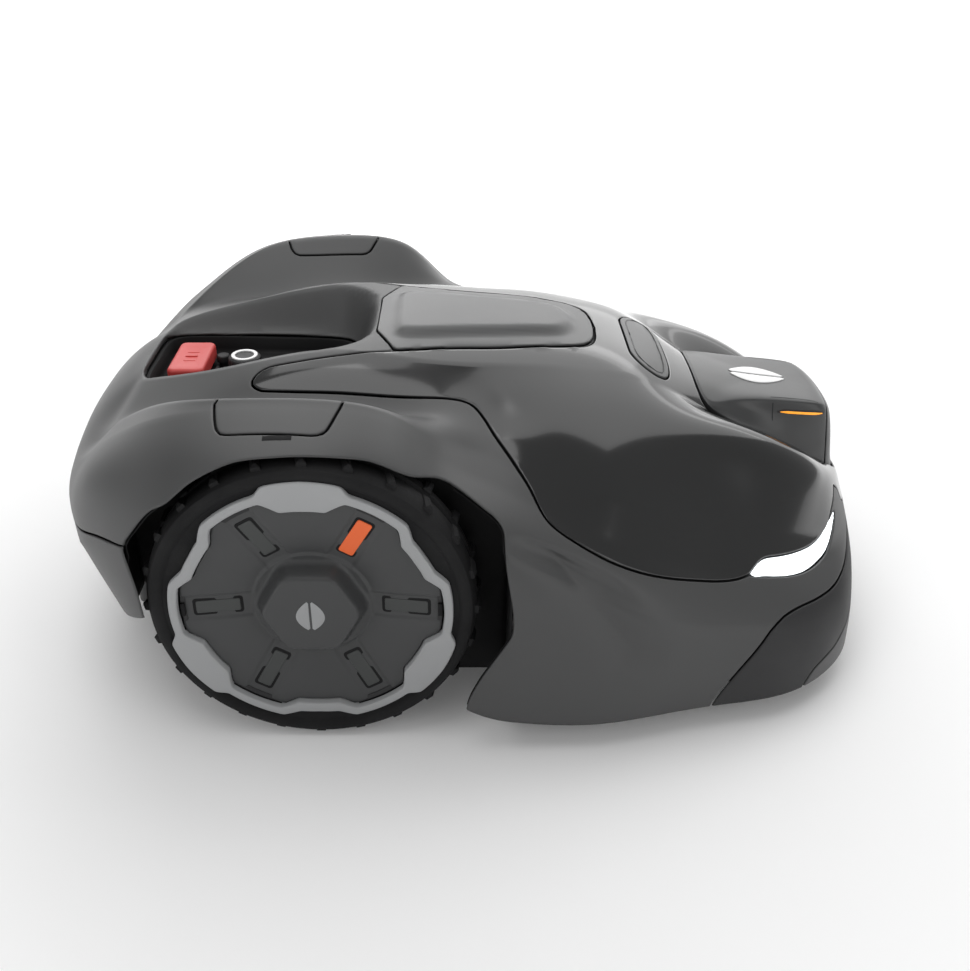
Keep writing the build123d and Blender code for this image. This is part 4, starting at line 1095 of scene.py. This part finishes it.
POW_LO, POW_HI = BOXES["power_button"]
pow_x, pow_y = (POW_LO[0] + POW_HI[0]) / 2, (POW_LO[1] + POW_HI[1]) / 2
top_z = POW_HI[2]


def flutes(r, zz, a):
    return -0.55 * abs(sin(11 * a)) if r > 13 and zz < dial_z - 4 else 0


build("dial_seat", *combine(upright([(19.5, TRAY_Z - 2), (19.5, TRAY_Z + 1.2), (18.6, TRAY_Z + 2.0), (16.2, TRAY_Z + 2.2),
                                    (14.9, TRAY_Z - 1.5)], dial_x, 0, 72),
                           rounded_box(STOP_HI[0] + 3.6, -8, TRAY_Z - 1, TRAY_Z + 3.2, 3, 38, 0.9, 0.7),
                           rounded_box(dial_x + 35, 0, TRAY_Z - 1, TRAY_Z + 1.4, 14, 26, 3.0, 0.8)),
      "soft_black", "shell", "soft_black", smooth=40)
dial = upright([(4, dial_z - 27), (4, dial_z - 17.8), (15, dial_z - 17.8), (15.0, dial_z - 17), (14.9, dial_z - 8),
                (14.7, dial_z - 4.4), (14.0, dial_z - 2.2), (12.6, dial_z - 0.9), (11.9, dial_z - 0.7), (11.7, dial_z - 1.4),
                (8.2, dial_z - 1.4), (8.0, dial_z - 0.9), (7.2, dial_z - 0.8), (3.0, dial_z - 1.2)], dial_x, 0, 132, flutes)
build("dial_knob", *dial, "soft_black", "mode_dial", "soft_black", ["mode_dial"], smooth=38)
build("power_cap", *upright([(4, top_z - 19), (4, top_z - 6.2), (6, top_z - 6), (6, top_z - 1.2), (5.6, top_z - 0.4),
                             (4.8, top_z), (3.2, top_z - 0.5), (1, top_z - 0.7)], pow_x, pow_y, 48),
      "soft_black", "power_button", "soft_black", ["power_button"], smooth=38)


# ---------------------------------------------------------------- camera, light, floor
scene = bpy.context.scene
cam = bpy.data.cameras.new("camera")
cam.sensor_width = 36.0
cam.lens = 1039 / 971 * 36
cam.shift_x = 0.026
cam.clip_start = 0.01
cam_o = bpy.data.objects.new("camera", cam)
cam_o.location = (-0.012, -0.850, 0.597)
cam_o.rotation_euler = (radians(59), 0, 0)
scene.collection.objects.link(cam_o)
scene.camera = cam_o
scene.view_settings.view_transform = "Standard"
scene.view_settings.look = "None"

floor_mat = material("floor", (0.90, 0.90, 0.90), 0.75, grain=0.0, mottle=0.003, emit=0.1, spec=0.15)
tree = floor_mat.node_tree
spot = tree.nodes.new("ShaderNodeTexCoord")
reach = tree.nodes.new("ShaderNodeVectorMath")
reach.operation = "LENGTH"
glow = tree.nodes.new("ShaderNodeMapRange")
glow.interpolation_type = "SMOOTHSTEP"
for key, value in (("From Min", 0.45), ("From Max", 1.6), ("To Min", 0.06), ("To Max", 0.95)):
    glow.inputs[key].default_value = value
tree.links.new(spot.outputs["Object"], reach.inputs[0])
tree.links.new(reach.outputs["Value"], glow.inputs["Value"])
tree.links.new(glow.outputs[0], next(n for n in tree.nodes if n.type == "BSDF_PRINCIPLED").inputs["Emission Strength"])
SWEEP = [(-9, 0), (9, 0), (11, 0.4), (12.2, 1.6), (12.6, 3.5), (12.6, 9)]
me = bpy.data.meshes.new("floor")
me.from_pydata([(sx, y0, z0) for y0, z0 in SWEEP for sx in (-14, 14)], [],
               [(2 * k, 2 * k + 1, 2 * k + 3, 2 * k + 2) for k in range(len(SWEEP) - 1)])
for p in me.polygons:
    p.use_smooth = True
floor = bpy.data.objects.new("floor", me)
me.materials.append(floor_mat)
scene.collection.objects.link(floor)


def area(name, loc, size, power, target=(0, 0, 0.1), color=(1, 1, 1)):
    d = bpy.data.lights.new(name, "AREA")
    d.shape = "RECTANGLE"
    d.size, d.size_y = size
    d.energy = power
    d.color = color
    o = bpy.data.objects.new(name, d)
    o.location = loc
    o.rotation_euler = (Vector(target) - Vector(loc)).to_track_quat("-Z", "Y").to_euler()
    scene.collection.objects.link(o)


area("key", (0.45, 1.5, 2.1), (3.6, 2.4), 40)
area("overhead", (-0.5, -0.2, 2.4), (1.8, 1.4), 16)
area("near_left", (-1.6, -1.8, 1.5), (1.0, 1.4), 7)
area("near_right", (1.8, -1.6, 1.1), (0.9, 1.4), 7)
area("far", (0.0, 3.4, 1.4), (4.0, 1.6), 16)
world = bpy.data.worlds.new("world")
world.use_nodes = True
world.node_tree.nodes["Background"].inputs[0].default_value = (1, 1, 1, 1)
world.node_tree.nodes["Background"].inputs[1].default_value = 0.38
scene.world = world

# ---------------------------------------------------------------- finishes of the CAD pieces that stay
NODE_SLOT = {part["node"]: part["material_slot"] for part in frame["record"]["subparts"]}
for node, o in frame["nodes"].items():
    if not o.material_slots:
        o.data.materials.append(None)
    for holder in o.material_slots:
        holder.material = MAT[NODE_SLOT[node]]
